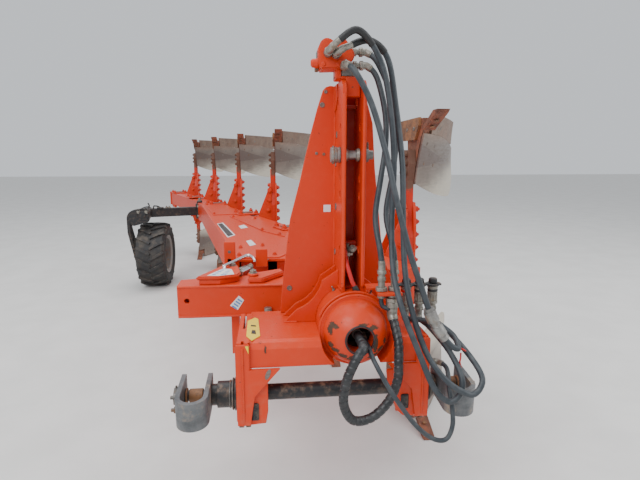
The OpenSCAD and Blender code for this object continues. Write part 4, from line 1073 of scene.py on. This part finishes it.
def legs():
    """Bolts, shear bolts and plates on the legs and bodies."""
    for upper, word in ((True, "upper"), (False, "lower")):
        z = Build("leg_bolts_" + word, LEG, "frame")
        d = Build("board_bolts_" + word, DARK, "frame")
        s = Build("share_stubs_" + word, RUST, "frame")
        o = Build("leg_plates_" + word, ORANGE, "frame")
        for m in body_sites(upper):
            def at(p):
                return m @ Vector(p)

            def way(v):
                return (m.to_3x3() @ Vector(v)).normalized()
            # holder plates on both faces of the leg, clamped by two rows of bolts
            foot = [(-50, 455), (50, 455), (62, 480)]
            for outline, x0, x1 in ((foot + [(82, 590), (82, 814), (-82, 814), (-82, 590), (-62, 480)], 0.2, 16),
                                    (foot + [(62, 487), (-62, 487), (-62, 480)], -48, -LEG_T - 0.2),
                                    ([(-20, 330), (20, 330), (26, 455), (-26, 455)], -40, 7)):
                o.slab([(LEG_BACK + y, z) for y, z in outline], x0, x1, "x", 2.5, m)
            for zz in (770, 700, 630, 560, 492):
                for y in (LEG_BACK - 42, LEG_BACK + 42):
                    z.bolt(at((16, y, zz)), way(X), 27, 13, 9)
            for y in (LEG_BACK - 36, LEG_BACK + 36):
                z.bolt(at((-48, y, 470)), way(-X), 24, 11, 4)
            for zz in (300, 250, 205):
                for y in (LEG_BACK - 28, LEG_BACK + 34):
                    z.bolt(at((-LEG_T, y, zz)), way(-X), 24, 12, 6)
            # countersunk plough bolts in board and share, nuts behind
            for bx, bz, r in ((55, 150, 8.5), (55, 250, 8.5), (130, 160, 8.5), (140, 262, 8.5), (95, 205, 8.5),
                              (110, 62, 9), (160, 66, 9)):
                p = surface_at(bx, bz, 0)
                n = (surface_at(bx, bz, -1) - p).normalized()
                d.cyl(at(p - n * 1.5), at(p + n * 0.9), r, r2=r + 1, sides=18)
                if bz > seam(bx):
                    d.hexa(at(surface_at(bx, bz, 31.8)), way(-n), 22, 13)
            for y in (90, 150):
                n = way((0, -0.387, 0.922))
                p = at((30, y, 0.42 * (y - 50) + 30))
                s.cyl(p, p + n * 3, 12, r2=10, sides=16)
            # landside bolts
            for y in (300, 430, 560):
                d.cyl(at((-14.2, y, 75)), at((-17.5, y, 75)), 11, r2=10, sides=18)
            # stay between the leg and the board's tail
            a, c = Vector((-6, LEG_BACK + 10, 300)), surface_at(320, 250, 12)
            s.cyl(at(a), at(c), 9, sides=14)
            s.cyl(at(a - Vector((10, 0, 0))), at(a + Vector((12, 0, 0))), 17, 2)
            s.cyl(at(c), at(surface_at(320, 250, 30)), 18, 2)
        for b in (z, d, s, o):
            b.done()


# The deck's face from the turnover axis, the same above and below
DECK = 92


def on_deck(up, low, high):
    """Two heights off the deck's upper or lower face."""
    return sorted((AXIS_Z + up * (DECK + low), AXIS_Z + up * (DECK + high)))


def deck_details():
    """Cover plates with their bolts, a bead along the edge, labels and a decal on the deck."""
    o = Build("deck_plates", ORANGE, "frame")
    z = Build("deck_bolts", ORANGE, "frame")
    for up in (1, -1):
        for pts in ([(-470, 760), (-250, 760), (-40, 1180), (-330, 1060), (-476, 1000)],
                    [(-340, 1640), (-200, 1400), (-420, 2350), (-640, 2500)],
                    [(-790, 2600), (-560, 2650), (-760, 3560), (-980, 3540)]):
            o.slab(pts, *on_deck(up, 0.2, 6), "z")
            cx, cy = (sum(c) / 4 for c in zip(*pts))
            for x, y in pts:
                z.bolt((x + (cx - x) * 0.16, y + (cy - y) * 0.14, AXIS_Z + up * (DECK + 6)), up * Z, 19, 9, 4)
        o.pipe([(x, y, AXIS_Z + up * DECK) for x, y in ((-466, 748), (-585, 1400), (-1004, 3490))], 5, 8)
    o.done()
    z.done()
    for up, word in ((1, "top"), (-1, "under")):
        b = Build("label_e_" + word, WHITE, "frame")
        for outline in ([(-700, 2060), (-660, 2120), (-524, 1510), (-566, 1414)],
                        [(-528, 1921), (-491, 1991), (-455, 1838), (-502, 1789)],
                        [(-443, 1274), (-414, 1314), (-379, 1149), (-413, 1105)]):
            b.slab(outline, *on_deck(up, 0.2, 1.4), "z", 0.3)
        b.done()
        b = Build("decal_" + word, DECAL, "frame")
        b.slab([(-692, 2040), (-664, 2080), (-536, 1518), (-566, 1450)], *on_deck(up, 1.2, 2.2), "z", 0.3)
        b.done()


def pivot(y):
    """A point on the axis that the wheel's leg swings about."""
    return -1620, y, AXIS_Z


def wheel():
    d = Build("wheel_fasteners", ZINC, "wheel")
    x, y, zc = -1560, 3750, 350
    for a in turns(6):
        a += 0.26
        p = (x - 44, y + 80 * math.cos(a), zc + 80 * math.sin(a))
        d.bolt(p, -X, 26, 12, 8)
    d.cyl((x - 96, y, zc), (x - 89, y, zc), 40, 2, 30)
    d.cyl((x + 80, y, zc), (x + 92, y, zc), 44, 3, 34)
    d.cyl((x - 60, y + 150, zc + 20), (x - 96, y + 160, zc + 22), 5, 1)
    d.done()
    k = Build("wheel_leg_parts", BLACK, "wheel_leg")
    k.ring(pivot(3504), Y, 60, 6, 40)
    k.cyl(pivot(3494), pivot(3505), 36, 3)
    k.slab([(3560, 700), (3560, 560), (3610, 600), (3610, 690)], -1786, -1770, "x", 3)
    k.done()
    n = Build("wheel_leg_bolts", ZINC, "wheel_leg")
    n.hexa(pivot(3742), Y, 62, 22, 2)
    for x in (-1660, -1580):
        n.bolt((x, 3505, 846), -Y, 28, 12)
    for dy, dz in ((-34, 20), (-34, -22), (26, 36), (30, -34)):
        n.bolt((-1785, 3750 + dy, 350 + dz), -X, 24, 8, 0, False)
    n.done()
    a = Build("arm_end_parts", BLACK, "frame")
    a.ring(pivot(3606), Y, 62, 5, 40)
    a.ring(pivot(3714), Y, 62, 5, 40)
    a.box((-1112, 3764, 736), (-1040, 3846, 906), 8)
    a.box((-1100, 3772, 904), (-1044, 3838, 938), 10)
    a.box((-1500, 3628, 862), (-1440, 3690, 880), 4)
    a.pipe([(-1590, 3660, 878), (-1584, 3660, 900), (-1596, 3660, 926)], 7)
    a.pipe([(-1540, 3640, 868), (-1530, 3640, 896), (-1500, 3650, 892), (-1470, 3660, 876)], 8)
    a.done()
    q = Build("arm_end_bolts", ZINC, "frame")
    for zz in (755, 885):
        for xx in (-1070, -925):
            q.bolt((xx, 3850.4, zz), Y, 30, 14)
    for xx in (-1410, -1380):
        q.bolt((xx, 3690, 865), Z, 24, 12)
    for zz in (768, 874):
        q.bolt((-1076, 3764, zz), -Y, 30, 14)
    q.bolt((-1072, 3805, 938), Z, 30, 14)
    q.done()


front_arm()
beam_details()
legs()
deck_details()
wheel()


# Light and floor
def stage():
    mat = Nodes("floor")
    color = mat.mix(mat.ramp(mat.noise(3.0, 4), 0.3, 0.7), (0.68, 0.67, 0.65), (0.73, 0.72, 0.70))
    mat.done(color, 0.85)
    bpy.ops.mesh.primitive_plane_add(size=60, location=(0, 0, -0.001))
    floor = bpy.context.object
    floor.name = "floor"
    floor.data.materials.append(mat.mat)
    world = bpy.data.worlds.new("world")
    bpy.context.scene.world = world
    world.use_nodes = True
    world.node_tree.nodes["Background"].inputs["Color"].default_value = (0.86, 0.90, 0.95, 1)
    world.node_tree.nodes["Background"].inputs["Strength"].default_value = 0.85
    for name, loc, size, power in (("key", (-4.0, -7.0, 6.5), 5.0, 520), ("fill", (6.0, -4.0, 4.5), 5.0, 200),
                                   ("top", (0, 0, 9.0), 7.0, 420)):
        data = bpy.data.lights.new(name, "AREA")
        data.size = size
        data.energy = power
        light = bpy.data.objects.new(name, data)
        light.location = loc
        light.rotation_euler = (Vector((0, -1.5, 0.8)) - Vector(loc)).to_track_quat("-Z", "Y").to_euler()
        bpy.context.scene.collection.objects.link(light)


stage()
